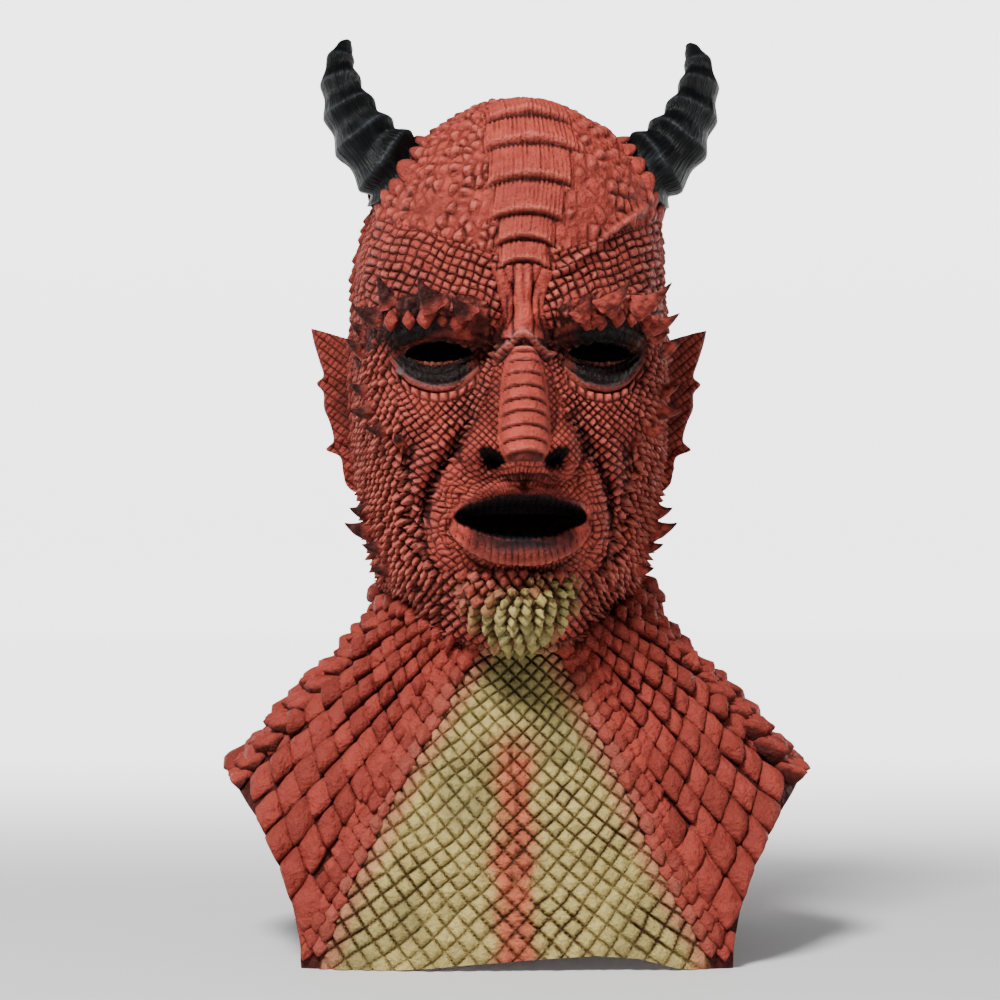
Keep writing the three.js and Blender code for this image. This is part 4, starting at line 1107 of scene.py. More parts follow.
def open_holes():
    """Marks vertices inside the holes and moves those beside an edge onto it."""
    inside = np.zeros(V.shape, bool)
    rims = np.zeros(V.shape, int)
    front = np.cos(P2) > FRONT_OF_HOLES
    for k, hole in enumerate(HOLES, 1):
        u = np.clip((X - hole["x"]) / hole["half"], -1, 1)
        low, top = hole_edges(hole, u)
        within = front & (Z > low) & (Z < top) & (np.abs(u) < 1)
        box = front & (np.abs(X - hole["x"]) < hole["half"] + 2)
        box &= (Z > low.min() - 3) & (Z < top.max() + 3)
        outline = hole_outline(hole)
        seen = np.stack([X[box], Z[box]], 1)
        d = np.linalg.norm(seen[:, None, :] - outline[None], axis=2)
        close = d.min(1) < RIM_REACH
        r, c = np.argwhere(box)[close].T
        x, z = (outline[d.argmin(1)[close]] - seen[close]).T
        SKIN[r, c] += np.stack([x * math.cos(HEAD_YAW), x * math.sin(HEAD_YAW), z], 1)
        rims[r, c] = k
        inside |= within & (rims == 0)
    return inside, rims


INSIDE, RIMS = open_holes()
COLS = len(PHI)


def skin_faces(first, last):
    """Faces of a band of rows, as numbers into the whole grid, without those in the holes."""
    faces = grid_faces(last - first + 1, COLS) + first * COLS
    flat = INSIDE.ravel()
    on_rim = RIMS.ravel() > 0
    drop = flat[faces].any(1) | on_rim[faces].all(1)
    if first == 0:
        drop |= faces[:, 0] < COLS
    return faces[~drop]


def part_of_skin(name, first, last):
    """Writes a band of rows; the first band closes in a fan round the crown's point."""
    faces = skin_faces(first, last)
    crown = first == 0
    used = np.unique(np.append(faces, 0)) if crown else np.unique(faces)
    place = np.full(V.size, -1)
    place[used] = np.arange(len(used))
    rows = place[faces].tolist()
    if crown:
        rows += [(0, place[COLS + c], place[COLS + c + 1]) for c in range(COLS - 1)]
    grids = [a.reshape(-1, *a.shape[2:])[used] for a in (SKIN, PAINT, surface.net, GLOSS, NORMALS)]
    add_piece(name, grids[0], rows, *grids[1:])


def row_at(v):
    return int(np.searchsorted(ROWS, v))


BANDS = ("head_top_skin", "face_skin", "bib_skin")
borders = np.linspace(0, len(ROWS) - 1, len(BANDS) + 1).astype(int)
for name, first, last in zip(BANDS, borders[:-1], borders[1:]):
    part_of_skin(name, first, last)


EYE_RIM, MOUTH_RIM = 6.0, 9.0  # how far the rims go back


def hole_rims():
    """The cut latex round eye holes and mouth, going straight back."""
    faces = skin_faces(row_at(6), row_at(12))
    pairs = {}
    for f in faces:
        for a, b in zip(f, np.roll(f, -1)):
            key = (min(a, b), max(a, b))
            pairs[key] = None if key in pairs else (a, b)
    rims = RIMS.ravel()
    edges = [e for e in pairs.values() if e and rims[e[0]] and rims[e[1]]]
    back = np.array([-math.sin(HEAD_YAW), math.cos(HEAD_YAW), 0])
    flat = SKIN.reshape(-1, 3)
    points = []
    for a, b in edges:
        deep = EYE_RIM if rims[a] > 1 else MOUTH_RIM
        points += [flat[b], flat[a], flat[a] + back * deep, flat[b] + back * deep]
    add_piece("hole_rims", points, np.arange(len(points)).reshape(-1, 4), BLACK * 1.5)


hole_rims()


# The inside

LINING_STEP = 3  # columns of the skin to a column of the lining
LINING_REACH = 7.0  # the lining lies behind the deepest hollow this near, so it never shows in front


def head_lining():
    """The inside of the head, WALL inside the outside and smoother."""
    phi = PHI[::LINING_STEP]
    rows = np.concatenate([np.linspace(0.5, 12.5, 70), np.linspace(12.7, NECK_ROW, 3)])
    v = np.broadcast_to(rows[:, None], (len(rows), len(phi)))
    angle = np.broadcast_to(phi[None, :], v.shape)
    inner = ring_point(angle, v)
    x, z = inner[..., 0].copy(), inner[..., 2].copy()
    around = np.arange(8) * math.pi / 4
    reach = [(0, 0)] + [(LINING_REACH * math.cos(a), LINING_REACH * math.sin(a)) for a in around]
    inner[..., 1] -= relief_share(angle, v) * np.min([face(x + dx, z + dz) for dx, dz in reach], axis=0)
    inner = turn_head(inner, v)
    e = 0.03
    down = ring_point(angle, v + e) - ring_point(angle, v - e)
    across = ring_point(angle + e, v) - ring_point(angle - e, v)
    inner = inner - WALL * unit(np.cross(down, across))
    gap = np.zeros(v.shape, bool)
    for hole in HOLES:
        u = np.clip((x - hole["x"]) / (hole["half"] + 1), -1, 1)
        low, top = hole_edges(hole, u)
        gap |= (z > low - 1) & (z < top + 1) & (np.abs(u) < 1) & (np.cos(angle) > FRONT_OF_HOLES)
    faces = grid_faces(len(rows), len(phi))
    faces = faces[~gap.ravel()[faces].any(1)][:, ::-1]
    add_piece("head_lining", inner.reshape(-1, 3), faces, LINING)


def bib_lining():
    """The inside of neck and bib, and the cut face along the bib's edge."""
    t = np.linspace(0, 1, 26)[:, None]
    v = NECK_ROW + t * (cut_rows(PHI, WALL)[None, :] - NECK_ROW)
    inner = shell_point(np.broadcast_to(PHI[None, :], v.shape), v, WALL)
    keep = np.unique(np.append(np.arange(0, COLS, LINING_STEP), COLS - 1))
    faces = grid_faces(len(t), len(keep))[:, ::-1]
    add_piece("bib_lining", inner[:, keep].reshape(-1, 3), faces, LINING)
    edge = np.stack([SKIN[-1], inner[-1]])
    add_piece("cut_edge", edge.reshape(-1, 3), grid_faces(2, COLS), LINING * 0.9)


head_lining()
bib_lining()


# Scales that stand free of the skin

# darkness is the share of each scale's rim colour, a painted shade along its edge where it meets the skin
SCALE_RINGS = ((0.45, 0.0), (0.76, 0.05), (0.93, 0.2), (1.0, 0.75), (1.02, 1.0))  # reach, darkness
AROUND_SCALE = 20


def template(blunt):
    """A scale's rings from its middle out to the rim, and a skirt. Columns: u, v, reach.

    blunt is 1 for a sharp rhomb and 2 for an ellipse.
    """
    points, shade = [(0, 0, 0)], [0.0]
    for reach, dark in SCALE_RINGS:
        for k in range(AROUND_SCALE):
            a = 2 * math.pi * k / AROUND_SCALE
            c, n = math.cos(a), math.sin(a)
            size = 0.5 * min(reach, 1.0) * (abs(c) ** blunt + abs(n) ** blunt) ** (-1 / blunt)
            points.append((size * c, size * n, reach))
            shade.append(dark)
    return np.array(points), disc_faces(len(SCALE_RINGS), AROUND_SCALE), np.array(shade)


SHINGLE, PETAL = template(1.2), template(1.75)
SCALE_RIM_SHADE = DARK_RED * 0.35


def within_cut(points):
    """Points of the bib's scales, brought inside its outline."""
    x, y, z = points.T
    z = np.maximum(z, hem_at(x, y) + 0.4)
    reach = np.where(z < TRIM[-2][1], trim_at(z) - 0.3, 400)
    return np.stack([np.clip(x, -reach, reach), y, z], 1)


def seat(at, normal, out, down, length, width, lift, colour, rim=SCALE_RIM_SHADE):
    """Where a scale sits: out is the way it faces, down the way its tip points."""
    return at, normal, out, down * length, np.cross(out, down) * width, lift, colour, rim


def place_scales(name, seats, tilt=0.9, dome=0.5, cut=False, outline=SHINGLE, rugged=0.36):
    """One piece of many scales, each higher at its tip by tilt and in its middle by dome."""
    points, faces, paint = [], [], []
    shape, polygons, shade = outline
    u, v, reach = shape[:, :1], shape[:, 1:2], shape[:, 2:]
    rise = 0.5 + tilt * v + dome * (1 - reach**2) - 0.3 * (reach > 0.98)
    for k, (at, normal, out, down, across, lift, colour, rim) in enumerate(seats):
        p = at + u * across + v * down + rise * lift * out
        size = np.linalg.norm(across)
        lumps = 0.8 * value_noise(p, 0.22 * size, 62) + 1.3 * value_noise(p, 0.45 * size, 63) - 1
        p = p + out * rugged * lift * lumps[:, None]
        # the skirt goes down into the skin
        above = (p - at) @ normal
        p = np.where(reach > 1.01, p - out * (np.maximum(above + 1.2, 0.2) / (out @ normal))[:, None], p)
        faces += [tuple(i + k * len(shape) for i in f) for f in polygons]
        points.append(p)
        # each scale darkens to its rim colour at the edge: painted shade
        paint.append(mix(np.broadcast_to(colour, (len(shape), 3)), rim, shade))
    points = np.vstack(points)
    add_piece(name, within_cut(points) if cut else points, faces, np.vstack(paint))


# The scales in front lie along lines that spread from a point on the other side of the neck. They
# are alike but for their size, which grows with the distance from it.
SPREAD_X, SPREAD_Z = 35, 227
SPREAD_STEP = 0.066  # edge of a scale for a distance of 1
SPREAD_TURN = math.radians(66)  # between the two edges of a scale
SPREAD_OUT, SPREAD_ROUND = range(60, 96), range(-40, 8)  # steps that cover the bib's front
# Three more rows follow the yellow field's border, at these distances from it.
BORDER_ROWS = (3.0, 8.8, 14.4)
BORDER_STEP = 7.0
BORDER_WIDTH, BORDER_LENGTH = 7.8, 10.5


def lifted(x, z, out):
    """The direction in the plane across out which looks like (x, z) from the front."""
    y = -(x * out[0] + z * out[2]) / out[1]
    return np.array([x, np.clip(y, -1.2, 1.2), z])


def front_ground():
    """Points and normals of the smooth form in front, from the neck down."""
    r, c = np.nonzero((V > 12.7) & (np.cos(P2) > -0.15))
    return FORM[r, c], FORM_NORMALS[r, c]


def front_seat(ground, normals, x, z, tip, wide, length, key, proud=0.36):
    """A scale seen from the front at x, z, its tip towards the direction tip; None off the bib."""
    d = np.hypot(ground[:, 0] - x, ground[:, 2] - z)
    k = d.argmin()
    if d[k] > 6:
        return None
    at, normal = ground[k], normals[k]
    out = unit(normal + (0.3 * hashed(key, 7) - 0.15, -0.5, 0.3 * hashed(key, 8) - 0.15))
    angle = math.atan2(tip[1], tip[0]) + 0.16 * (hashed(key, 2) - 0.5)
    size = 0.93 + 0.2 * hashed(key, 4)
    down = lifted(math.cos(angle), math.sin(angle), out) * length * size
    across = lifted(-math.sin(angle), math.cos(angle), out) * wide * size
    depth = yellow_depth(at[0], at[1], at[2])
    red = mix(DARK_RED * 1.4, RED * 0.8, 0.4 + 0.6 * hashed(key, 1))
    light = math.exp(-((depth + 1) / 5) ** 2) * smooth(150, 120, z)
    colour = mix(red, PINK * 0.75, light * (0.1 + 0.6 * hashed(key, 6)))
    lift = proud * wide * (0.6 + 0.8 * hashed(key, 3)) * (1 + 0.8 * smooth(105, 140, z))
    return at + 0.5 * normal, normal, out, down, across, lift, colour, SCALE_RIM_SHADE


def front_scales():
    """The scales beside the yellow field, and the rows along its border."""
    ground = front_ground()
    seats = []
    steep, flat = math.sin(SPREAD_TURN), math.cos(SPREAD_TURN)
    for sign, border in ((-1, YELLOW_LEFT), (1, YELLOW_RIGHT)):
        for a in SPREAD_OUT:
            for b in SPREAD_ROUND:
                theta = -SPREAD_STEP * b * steep
                reach = math.exp(SPREAD_STEP * (a + b * flat))
                x, z = reach * math.sin(theta) - SPREAD_X, SPREAD_Z - reach * math.cos(theta)
                depth = yellow_depth(sign * x, -50, z)
                edge = SPREAD_STEP * reach
                if x < 3 or depth > -0.3 * edge - 8.5 or (z > 163 and x < 44):
                    continue
                out_way = np.array([math.sin(theta), -math.cos(theta)])
                in_way = np.array([-math.cos(theta), -math.sin(theta)])
                tip = (out_way + out_way * flat + in_way * steep) * (sign, 1)
                key = a * 100 + b + 50 * sign
                made = front_seat(*ground, sign * x, z, tip, 1.02 * edge, 1.68 * edge, key)
                if made and beyond_cut(made[0]) > 0:
                    seats.append(made)
        for row, gap in enumerate(BORDER_ROWS):
            for k, z in enumerate(np.arange(152 - 3.0 * row, 6, -BORDER_STEP)):
                x = np.interp(z, YELLOW_Z, border) + sign * gap
                size = 1 + 0.25 * hashed(k, row, sign, 12)
                wide, length = BORDER_WIDTH * size, BORDER_LENGTH * size
                made = front_seat(*ground, x, z, (sign * 0.15, -1), wide, length, k * 10 + row, 0.34)
                if made:
                    seats.append(made)
    return seats


RIDGE_ANGLE = math.radians(84)
RIDGE_ROWS, RIDGE_WIDTH = [13, 15, 16.5], [8, 11.5, 13.5]
BACK_COLUMNS = 44  # round the whole neck, of which the rear ones are made
BACK_START = math.radians(88)


def ridge_scales():
    """Thick lumps along the top of each shoulder, which stand out from its outline."""
    seats = []
    for sign in (-1, 1):
        row, k = 13.35, 0
        while row < 17.6:
            at, down, across, out = frame_at(sign * RIDGE_ANGLE, row)
            if beyond_cut(at) < 2:
                break
            wide = np.interp(row, RIDGE_ROWS, RIDGE_WIDTH) * (0.85 + 0.35 * hashed(k, sign, 21))
            colour = mix(DARK_RED * 1.6, RED * 0.85, 0.6 + 0.4 * hashed(k, sign, 22))
            for turn in (-1.0, -0.35, 0.35):
                slant = unit(down + across * 0.3 * turn)
                middle = at + across * turn * wide * 1.1 * sign
                seats.append(seat(middle, out, out, slant, wide * 1.25, wide, 0.46 * wide, colour))
            ahead = np.linalg.norm(skin_point(1.57, row + 0.05) - skin_point(1.57, row))
            row += 0.05 * wide * 0.9 / ahead
            k += 1
    return seats


def back_scales():
    """Plainer rows of scales over the back."""
    seats = []
    row, k = 12.6, 0
    while row < 18.9:
        rows = np.full(BACK_COLUMNS, row)
        phis = (np.arange(BACK_COLUMNS) + 0.5 * (k % 2)) * 2 * math.pi / BACK_COLUMNS - math.pi
        at, down, across, out = frame_at(phis, rows)
        bare = ring_point(phis, rows)
        width = np.linalg.norm(np.roll(bare, -1, 0) - np.roll(bare, 1, 0), axis=1) / 2
        for i in np.flatnonzero(np.abs(phis) > BACK_START):
            if beyond_cut(at[i]) < -2:
                continue
            key = k * 100 + i
            turned = unit(down[i] + across[i] * (hashed(key, 2) - 0.5) * 0.2)
            colour = mix(mix(DARK_RED * 1.8, RED, 0.4 + 0.6 * hashed(key, 1)), DARK_RED * 1.4, 0.35)
            wide = width[i]
            seats.append(seat(at[i] + 0.4 * out[i], out[i], out[i], turned, wide * 1.5, wide * 1.08,
                              0.24 * wide, colour))
        ahead = np.linalg.norm(skin_point(2.6, row + 0.1) - skin_point(2.6, row))
        row += 0.1 * (0.62 * width.mean()) / max(ahead, 0.5)
        k += 1
    return seats


def vertex_at(x, z):
    """Row and column of the skin's vertex at the front-view place (x, z) of the head."""
    cols = np.flatnonzero(np.cos(PHI) > -0.1)
    rows = np.flatnonzero(ROWS < NECK_ROW)
    d = np.hypot(LOCAL[rows][:, cols, 0] - x, LOCAL[rows][:, cols, 2] - z)
    r, c = np.unravel_index(d.argmin(), d.shape)
    return rows[r], cols[c]


# The beard narrows from the lip to a point below the chin.
BEARD_Z = [150, 157, 165, 176, 189]
BEARD_HALF = [4, 12, 21, 28, 27]
BEARD_ROW, BEARD_COLUMN = 4.1, 5.6  # distances between its scales
BEARD_LENGTH, BEARD_WIDTH = 9.5, 7.0


def beard_scales():
    """Cream pyramids, flesh-coloured along the beard's borders."""
    seats = []
    for k, z in enumerate(np.arange(189, 150, -BEARD_ROW)):
        half = np.interp(z, BEARD_Z, BEARD_HALF)
        shift = BEARD_COLUMN / 2 if k % 2 else 0
        for i, x in enumerate(np.arange(-half, half + 0.1, BEARD_COLUMN) + shift):
            if abs(x) > half:
                continue
            x = x + 1.6 * (hashed(k, i, 6) - 0.5)
            r, c = vertex_at(x, z + 1.6 * (hashed(k, i, 7) - 0.5))
            out = unit(FORM_NORMALS[r, c] + np.array([0, -0.5, 0.15]))
            down = unit(np.array([x * 0.008 + 0.3 * (hashed(k, i, 8) - 0.5), 0, -1]) + out * out[2])
            pale = smooth(187, 175, z - 0.3 * x + 8 * (hashed(k, i, 15) - 0.5))
            pale = pale * smooth(1.15, 0.75, abs(x) / half)
            flesh = mix(RED * 0.7, PINK, 0.7 * hashed(k, i, 9))
            colour = mix(flesh, mix(OLIVE, CREAM * 0.9, 0.2 + 0.8 * hashed(k, i, 4)), pale)
            size = np.interp(z, [158, 189], [1.0, 0.72]) * (0.75 + 0.5 * hashed(k, i, 3))
            seats.append(seat(FORM[r, c], FORM_NORMALS[r, c], out, down, BEARD_LENGTH * size,
                              BEARD_WIDTH * size, 2.6 + 2.0 * hashed(k, i, 10), colour, OLIVE * 0.1))
    return seats


def brow_knobs():
    """A row of knobs under the brow's spikes."""
    seats = []
    for sign in (-1, 1):
        for k, x in enumerate(np.arange(30, 68, 7.6)):
            z = np.interp(x, [28, 45, 66], [311, 313.5, 311]) + 1.5 * (hashed(k, sign, 3) - 0.5)
            r, c = vertex_at(sign * x, z)
            out = unit(FORM_NORMALS[r, c] + np.array([0, -0.4, -0.1]))
            down = unit(np.array([0, 0, -1]) + out * out[2])
            colour = mix(RED * 0.9, DARK_RED, 0.2 + 0.4 * hashed(k, sign, 5))
            size = 0.75 + 0.5 * hashed(k, sign, 4)
            seats.append(seat(FORM[r, c] + out, FORM_NORMALS[r, c], out, down, 9.4 * size, 7.6 * size,
                              3.6 * size, colour, BLACK))
    return seats


place_scales("shoulder_scales", front_scales(), dome=0.7, cut=True)
place_scales("ridge_scales", ridge_scales(), tilt=1.2, dome=0.35, cut=True)
place_scales("back_scales", back_scales(), cut=True)
place_scales("beard_scales", beard_scales(), tilt=1.5, dome=0.9, rugged=0.75)
place_scales("brow_knobs", brow_knobs(), tilt=0.8, dome=0.9)

# Spikes: root x and z, tip x and z, how far the tip stands forward, root radius. Those of the brow
# differ from side to side; those of temple, cheek and jaw are the same on both.
BROW_SPIKES = {
    -1: [(28, 315.5, 34.5, 321.5, 7, 5.4), (29, 309, 31, 311, 6, 4.4), (43, 320.5, 50.5, 331, 8, 6.8),
         (62, 322.5, 69, 334.5, 5, 6.0), (68, 315.5, 80.5, 319.5, 4, 6.4), (74, 309.5, 82, 314, 3, 4.2)],
    1: [(27.5, 315, 32.5, 322, 7, 5.2), (33, 311.5, 40, 314, 7, 4.6), (40, 318.5, 51, 330, 8, 6.4),
        (56, 319, 73, 330, 7, 6.6), (64, 311, 78.5, 316, 6, 6.2), (66.5, 305, 74, 307.5, 4, 4.0)],
}
SPIKES = [
    (75, 301, 83.5, 305, 3, 5.0), (72, 280, 82, 282.5, 4, 5.2), (70, 271, 82, 269, 4, 5.6),
    (64, 261, 74.5, 260.5, 6, 5.0), (57, 255.5, 60.5, 256, 6, 4.6), (71, 220.5, 81.5, 221, 3, 6.0),
    (69, 211.5, 84, 213.5, 3, 7.2), (63.5, 203, 75.5, 203, 3, 6.0), (61, 192.5, 71, 191, 3, 6.2),
    (47, 184, 51, 180, 4, 3.8),
]


AROUND_SPIKE, ALONG_SPIKE = 22, 18


def round_about(a, u, w):
    """Directions at the angles a in the plane of u and w."""
    return np.cos(a)[..., None] * u + np.sin(a)[..., None] * w


def spikes():
    """Horny cones on brow, cheek and jaw: flared at the root, rugged, with a dark tip."""
    points, paint, faces = [], [], []
    t = np.linspace(0, 1, ALONG_SPIKE)[:, None]
    a = np.arange(AROUND_SPIKE)[None, :] * 2 * math.pi / AROUND_SPIKE
    for sign in (-1, 1):
        on_brow = len(BROW_SPIKES[sign])
        for k, (x, z, tip_x, tip_z, forward, radius) in enumerate(BROW_SPIKES[sign] + SPIKES):
            r, c = vertex_at(sign * x, z)
            root = LOCAL[r, c]
            tip = np.array([sign * tip_x, root[1] - forward, tip_z])
            root, tip = turn_head(root, V[r, c]), turn_head(tip, V[r, c])
            axis = unit(tip - root)
            length = np.linalg.norm(tip - root)
            u = unit(np.cross((0, 0, 1), axis))
            outward = round_about(a, u, np.cross(axis, u))
            flank = radius * (0.72 * (1 - t) + 0.35 * np.exp(-t * 5) + 0.13 * np.sqrt(1 - t**2))
            ribs = 0.08 * np.cos(a * 3 + 2 * k) * (1 - 0.6 * t) + 0.09 * np.cos(a * 8 + k) * (1 - t)
            bend = np.array([0, 0, -0.15 * length]) * np.sin(math.pi * t)[..., None]
            at = root + axis * (length * t - 2.0 * (1 - t) ** 4)[..., None] + bend
            at = at + (flank * (1 + ribs))[..., None] * outward
            rugged = value_noise(at, 2.4, 64) + 0.6 * value_noise(at, 1.1, 65) - 0.8
            at = at + (rugged * 0.13 * flank)[..., None] * outward
            # the mask's right side is darker, its brow most of all
            dark = mix(DARK_RED * 0.6, BLACK, 0.8 if sign < 0 else 0.5)
            start = 0.45 if sign > 0 else -0.1 if k < on_brow else 0.1
            colour = mix(RED, DARK_RED, 0.15 + 0.5 * value_noise(at, 3, 66))
            along = t + 0.3 * (value_noise(at, 4, 67) - 0.5)
            colour = mix(colour, dark, smooth(start, start + 0.5, along) * 0.92)
            # painted shade in the dents of the rugged surface and a painted highlight on its bumps
            colour = mix(colour, DARK_RED * 0.3, smooth(0.1, -0.3, rugged) * 0.7)
            colour = mix(colour, colour + PINK * 0.12, smooth(0.1, 0.5, rugged))
            base = len(points)
            points += [*at.reshape(-1, 3), tip]
            paint += [*colour.reshape(-1, 3), dark]
            faces += [tuple(base + f) for f in grid_faces(ALONG_SPIKE, AROUND_SPIKE, wrap=True)]
            faces += tip_faces(base + (ALONG_SPIKE - 1) * AROUND_SPIKE, len(points) - 1, AROUND_SPIKE)
    add_piece("spikes", np.array(points), faces, np.array(paint))


spikes()

# Ears: each rib gives the height of its root, and how far out and how high its end is.
EAR_RIBS = [(302, 32, 313.4), (297, 30, 306), (292, 26.5, 297), (287, 23.5, 289), (283, 28, 285),
            (278, 23.5, 280), (272, 23, 272), (265, 19, 264.5), (257, 16.5, 255.5), (252, 21.5, 250.8),
            (247, 12, 247), (240, 10, 239.5), (234, 8, 233), (229, 3, 229)]
EAR_LEAN = math.radians(42)
EAR_ROOT_X, EAR_ROOT_Y, EAR_START = 76, 3, -8  # the ear starts inside the head
# Across the ear, from the root in front, round the edge and back: share of the reach, and thickness.
EAR_SECTION = [(0, 2), (0.25, 0), (0.5, -2), (0.75, 0.5), (0.9, 2.4), (1, 0.6), (0.84, -2.2),
               (0.5, -4.2), (0, -6)]
EAR_FRONT = 0.6  # share of the section that faces forward
EAR_STRETCH = {-1: 1.0, 1: 1.22}  # the mask's left ear stands further out
SIDES = (("left", -1), ("right", 1))  # named as seen in the photograph


def ears():
    """Pointed ears with toothed edges and a net of scales on both sides."""
    section = fold_curve([(f, front, 0, 0) for f, front in EAR_SECTION], 9)[:, :2]
    ribs = fold_curve([(*rib, 0) for rib in EAR_RIBS], 14)
    out = np.array([math.cos(EAR_LEAN), math.sin(EAR_LEAN), 0])
    ahead = np.array([math.sin(EAR_LEAN), -math.cos(EAR_LEAN), 0])
    f, front = section[None, :, 0], section[None, :, 1]
    root_z, reach, z = (ribs[:, k][:, None] for k in range(3))
    height = root_z + f * (z - root_z)
    shown = (np.arange(len(section)) < len(section) * EAR_FRONT)[None, :]
    for name, sign in SIDES:
        along = EAR_START + f * (reach * EAR_STRETCH[sign] - EAR_START)
        p, q = rhombs(along, height + 0.35 * along, 4.6, 5.0)
        edge, _, number = lattice(p, q)
        relief = (0.4 + 0.6 * number) * smooth(0, 0.28, edge) * smooth(0, 0.12, 1 - f)
        relief = np.where(shown, relief, -relief)
        place = np.array([EAR_ROOT_X, EAR_ROOT_Y, 0]) + along[..., None] * out
        place = place + (front * (0.5 + 0.5 * smooth(0, 12, reach)) + relief)[..., None] * ahead
        place[..., 2] = height
        points = turn_head(place * (sign, 1, 1), np.zeros(along.shape)).reshape(-1, 3)
        # darker down the middle of the ear's hollow front, most at mid height: painted shade
        dark = bell(f - 0.55, 0.22) * shown * (0.3 + 0.7 * bell(height - 272, 12))
        paint = mix(RED * 0.9, DARK_RED, 0.2 + 0.8 * dark + 0.25 * number)
        paint = mix(paint, DARK_RED * 0.35, smooth(0.2, 0.03, edge) * 0.8)
        paint = mix(paint, BLACK, smooth(0.93, 1.0, f) * 0.35).reshape(-1, 3)
        net = np.stack([p, q, np.full(p.shape, 0.5)], -1).reshape(-1, 3)
        add_piece("ear_" + name, points, grid_faces(len(ribs), len(section))[:, ::sign], paint, net)


ears()

# Horns: middle line and radius, root in the head to tip.
HORN_LINE = [(55, -23, 380, 19.5), (62, -25, 389, 18.5), (75, -25, 401, 16.2), (84, -22.5, 415, 13.2),
             (89.5, -18, 430, 10.2), (91, -13, 443.5, 7.2), (88.5, -9, 453, 4.4), (86.4, -7.5, 457, 1.6)]
HORN_RIBS = 7.5
AROUND_HORN = 150
HORN_DARK, HORN_HIGHLIGHT = np.array([0.0015, 0.0016, 0.0018]), np.array([0.024, 0.028, 0.032])


def along_horn(a, t, across, down):
    """Coordinates for grain that runs along the horn."""
    return np.stack(np.broadcast_arrays(np.cos(a) * across, np.sin(a) * across, t * down), -1)


def horns():
    """Ribbed horns with lengthwise lines."""
    line = fold_curve(HORN_LINE, 28)
    centre, radius = line[:, :3], line[:, 3]
    axis = unit(np.gradient(centre, axis=0))
    u = unit(np.cross((0, 1, 0), axis))
    t = np.linspace(0, 1, len(line))[:, None]
    a = (np.arange(AROUND_HORN) / AROUND_HORN * 2 * math.pi)[None, :]
    wave = t**0.9 * HORN_RIBS + 0.07 * np.cos(a * 2 + 1) + 0.05 * np.sin(a * 3) + 0.1
    ring = 0.45 * np.cos(2 * math.pi * wave) + 0.55 * (1 - 2 * np.abs(np.sin(math.pi * wave)))
    fade = smooth(0.0, 0.25, 1 - t)
    lump = value_noise(along_horn(a, t, 3, 7), 1.0, 60) - 0.5
    seam = value_noise(along_horn(a, t, 15, 16), 1.0, 61) - 0.5
    size = radius[:, None] * (1.03 + 0.10 * ring * fade + 0.03 * seam * fade + 0.05 * lump * fade)
    size = np.maximum(size, 0.25)
    p = centre[:, None] + size[..., None] * round_about(a, u[:, None], np.cross(axis, u)[:, None])
    # the ribs' crests are paler blue-grey: painted highlights, partly dry-brushed paint
    paint = mix(HORN_DARK, HORN_HIGHLIGHT, smooth(0.4, 1, ring) * (0.25 + 0.5 * smooth(0.4, 0.8, seam + 0.5)))
    net = along_horn(a, t, 18, 14)
    paint, net = (np.vstack([grid.reshape(-1, 3), grid[-1, :1]]) for grid in (paint, net))
    for name, sign in SIDES:
        placed = turn_head(p * (sign, 1, 1), np.zeros(p.shape[:2]))
        points = np.vstack([placed.reshape(-1, 3), placed[-1].mean(0)[None] + (0, 0, 0.6)])
        faces = [tuple(f) for f in grid_faces(len(line), AROUND_HORN, wrap=True)[:, ::sign]]
        last = (len(line) - 1) * AROUND_HORN
        faces += [f[::sign] for f in tip_faces(last, len(points) - 1, AROUND_HORN)]
        node = "horn_" + name
        add_piece(node + "_shell", points, faces, paint, net, material=HORN, nodes=(node,), slot="horn")


horns()

COLLAR_SCALES = 13
COLLAR_RADIUS, COLLAR_LENGTH, COLLAR_WIDTH, COLLAR_LIFT = 20.6, 17, 12, 2.6


def collars():
    """Fleshy scales round the root of each horn."""
    seats = []
    flat = SKIN[2:row_at(7)].reshape(-1, 3)
    for sign in (-1, 1):
        line = np.array(HORN_LINE)[1:3, :3] * (sign, 1, 1)
        foot, ahead = turn_head(line, np.zeros(2))
        axis = unit(ahead - foot)
        u = unit(np.cross((0, 1, 0), axis))
        w = np.cross(axis, u)
        offset = flat - foot
        height = offset @ axis
        offset = offset - height[:, None] * axis
        for k in range(COLLAR_SCALES):
            a = 2 * math.pi * (k + 0.3 * hashed(k, sign, 1)) / COLLAR_SCALES
            out = u * math.cos(a) + w * math.sin(a)
            nearest = np.linalg.norm(offset - out * (COLLAR_RADIUS + 2), axis=1).argmin()
            at = foot + axis * (height[nearest] - 2.0) + out * (COLLAR_RADIUS + 0.5)
            size = 0.85 + 0.3 * hashed(k, sign, 2)
            colour = mix(RED * 0.9, DARK_RED, 0.5 * hashed(k, sign, 3))
            seats.append(seat(at, out, out, unit(axis - out * 0.25), COLLAR_LENGTH * size,
                              COLLAR_WIDTH * size, COLLAR_LIFT, colour, BLACK * 1.5))
    return seats


place_scales("horn_collars", collars(), tilt=-0.5, dome=0.9, outline=PETAL)


# Stage, light and camera

# The stage in metres: a round floor, a quarter circle up from it and a low wall.
FLOOR_RADIUS, FLOOR_CURVE, WALL_HEIGHT = 4.2, 1.0, 1.6
FLOOR_RINGS = 7
AROUND_FLOOR = 64
GLOW = (0.1, 1.2, 0.0, 2.6)  # it grows from none at the first distance behind the mask to the last number


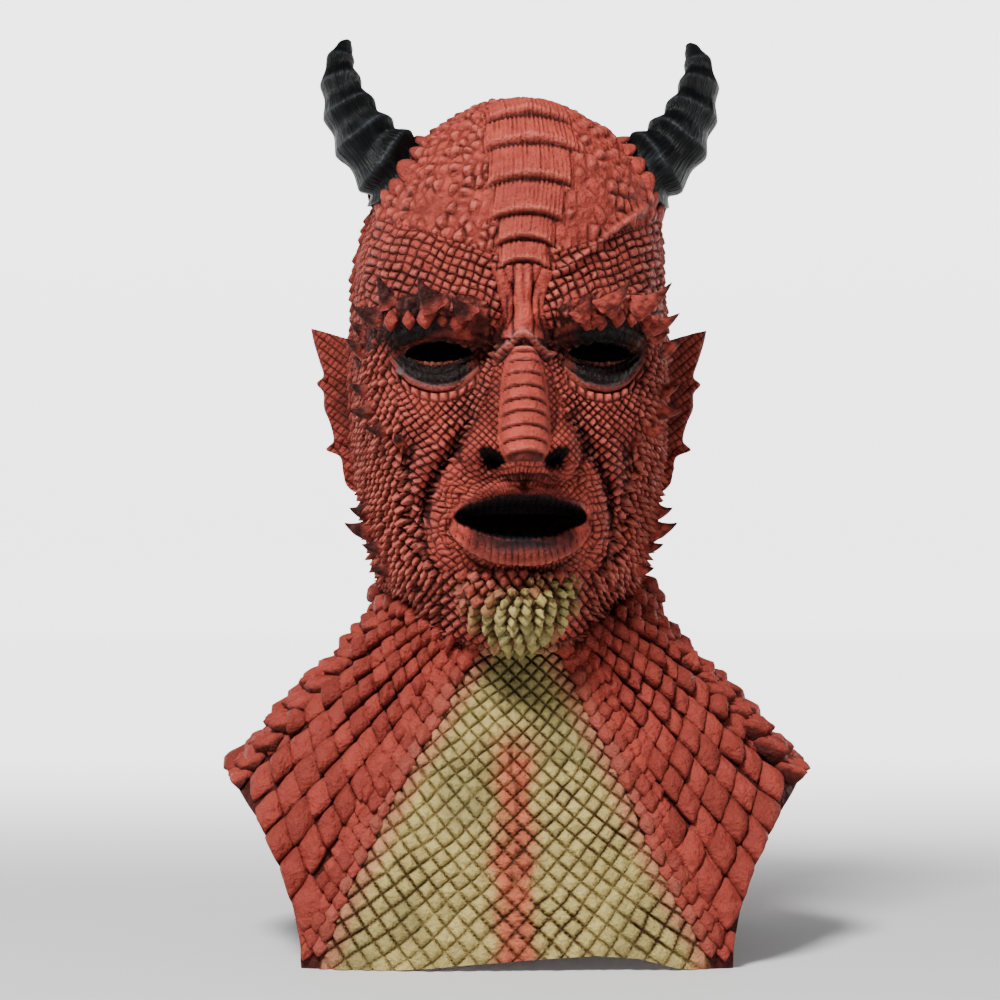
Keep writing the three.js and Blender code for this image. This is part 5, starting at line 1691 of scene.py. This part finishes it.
def stage():
    """A wide pale floor that curves up all round into a low wall; the part behind the mask glows."""
    rings = [(0.6 * k, 0.0) for k in range(1, FLOOR_RINGS + 1)]
    for a in np.linspace(0, math.pi / 2, 10)[1:]:
        rings.append((FLOOR_RADIUS + FLOOR_CURVE * math.sin(a), FLOOR_CURVE - FLOOR_CURVE * math.cos(a)))
    rings.append((FLOOR_RADIUS + FLOOR_CURVE, WALL_HEIGHT))
    points = [(0, 0, 0)]
    for radius, z in rings:
        for k in range(AROUND_FLOOR):
            a = 2 * math.pi * k / AROUND_FLOOR
            points.append((radius * math.cos(a), radius * math.sin(a), z))
    mesh = bpy.data.meshes.new("floor")
    mesh.from_pydata(points, [], disc_faces(len(rings), AROUND_FLOOR))
    mesh.polygons.foreach_set("use_smooth", np.ones(len(mesh.polygons), bool))
    m = Shade("pale floor")
    away = m.node("SeparateXYZ", {"Vector": m.place})[1]
    m.set(Base_Color=m.mixed(m.noise(3.0), (0.74, 0.74, 0.74, 1), (0.77, 0.77, 0.77, 1)), Roughness=0.8,
          Emission_Color=(1, 1, 1, 1), Emission_Strength=m.ramp(away, *GLOW))
    mesh.materials.append(m.material)
    floor = bpy.data.objects.new("floor", mesh)
    bpy.context.scene.collection.objects.link(floor)


def area_light(name, place, target, size, power):
    """A square soft light that faces the target."""
    light = bpy.data.lights.new(name, "AREA")
    light.shape = "SQUARE"
    light.size = size
    light.energy = power
    lamp = bpy.data.objects.new(name, light)
    lamp.location = place
    direction = Vector(np.array(target) - np.array(place))
    lamp.rotation_euler = direction.to_track_quat("-Z", "Y").to_euler()
    bpy.context.scene.collection.objects.link(lamp)


stage()
area_light("key", (-0.55, -1.15, 1.75), (0, 0, 0.25), 0.5, 74)
area_light("fill", (1.3, -1.6, 0.6), (0, 0, 0.22), 1.2, 6)
world = bpy.data.worlds.new("studio")
world.use_nodes = True
background = world.node_tree.nodes["Background"]
background.inputs["Color"].default_value = (1, 1, 1, 1)
background.inputs["Strength"].default_value = 0.1
bpy.context.scene.world = world

CAMERA_DISTANCE = 1500.0  # to the plane through the ears
CAMERA_X, CAMERA_Z = -8.2, 225.0
PIXEL = 0.51  # mm of that plane to a pixel of the photograph
PHOTO_WIDTH = 1000
camera_data = bpy.data.cameras.new("camera")
camera_data.sensor_width = 36
camera_data.lens = camera_data.sensor_width * CAMERA_DISTANCE / (PIXEL * PHOTO_WIDTH)
camera = bpy.data.objects.new("camera", camera_data)
camera.location = (np.array([CAMERA_X, -CAMERA_DISTANCE, CAMERA_Z]) + FORM_SHIFT) * MM
camera.rotation_euler = (math.pi / 2, 0, 0)
bpy.context.scene.collection.objects.link(camera)
bpy.context.scene.camera = camera
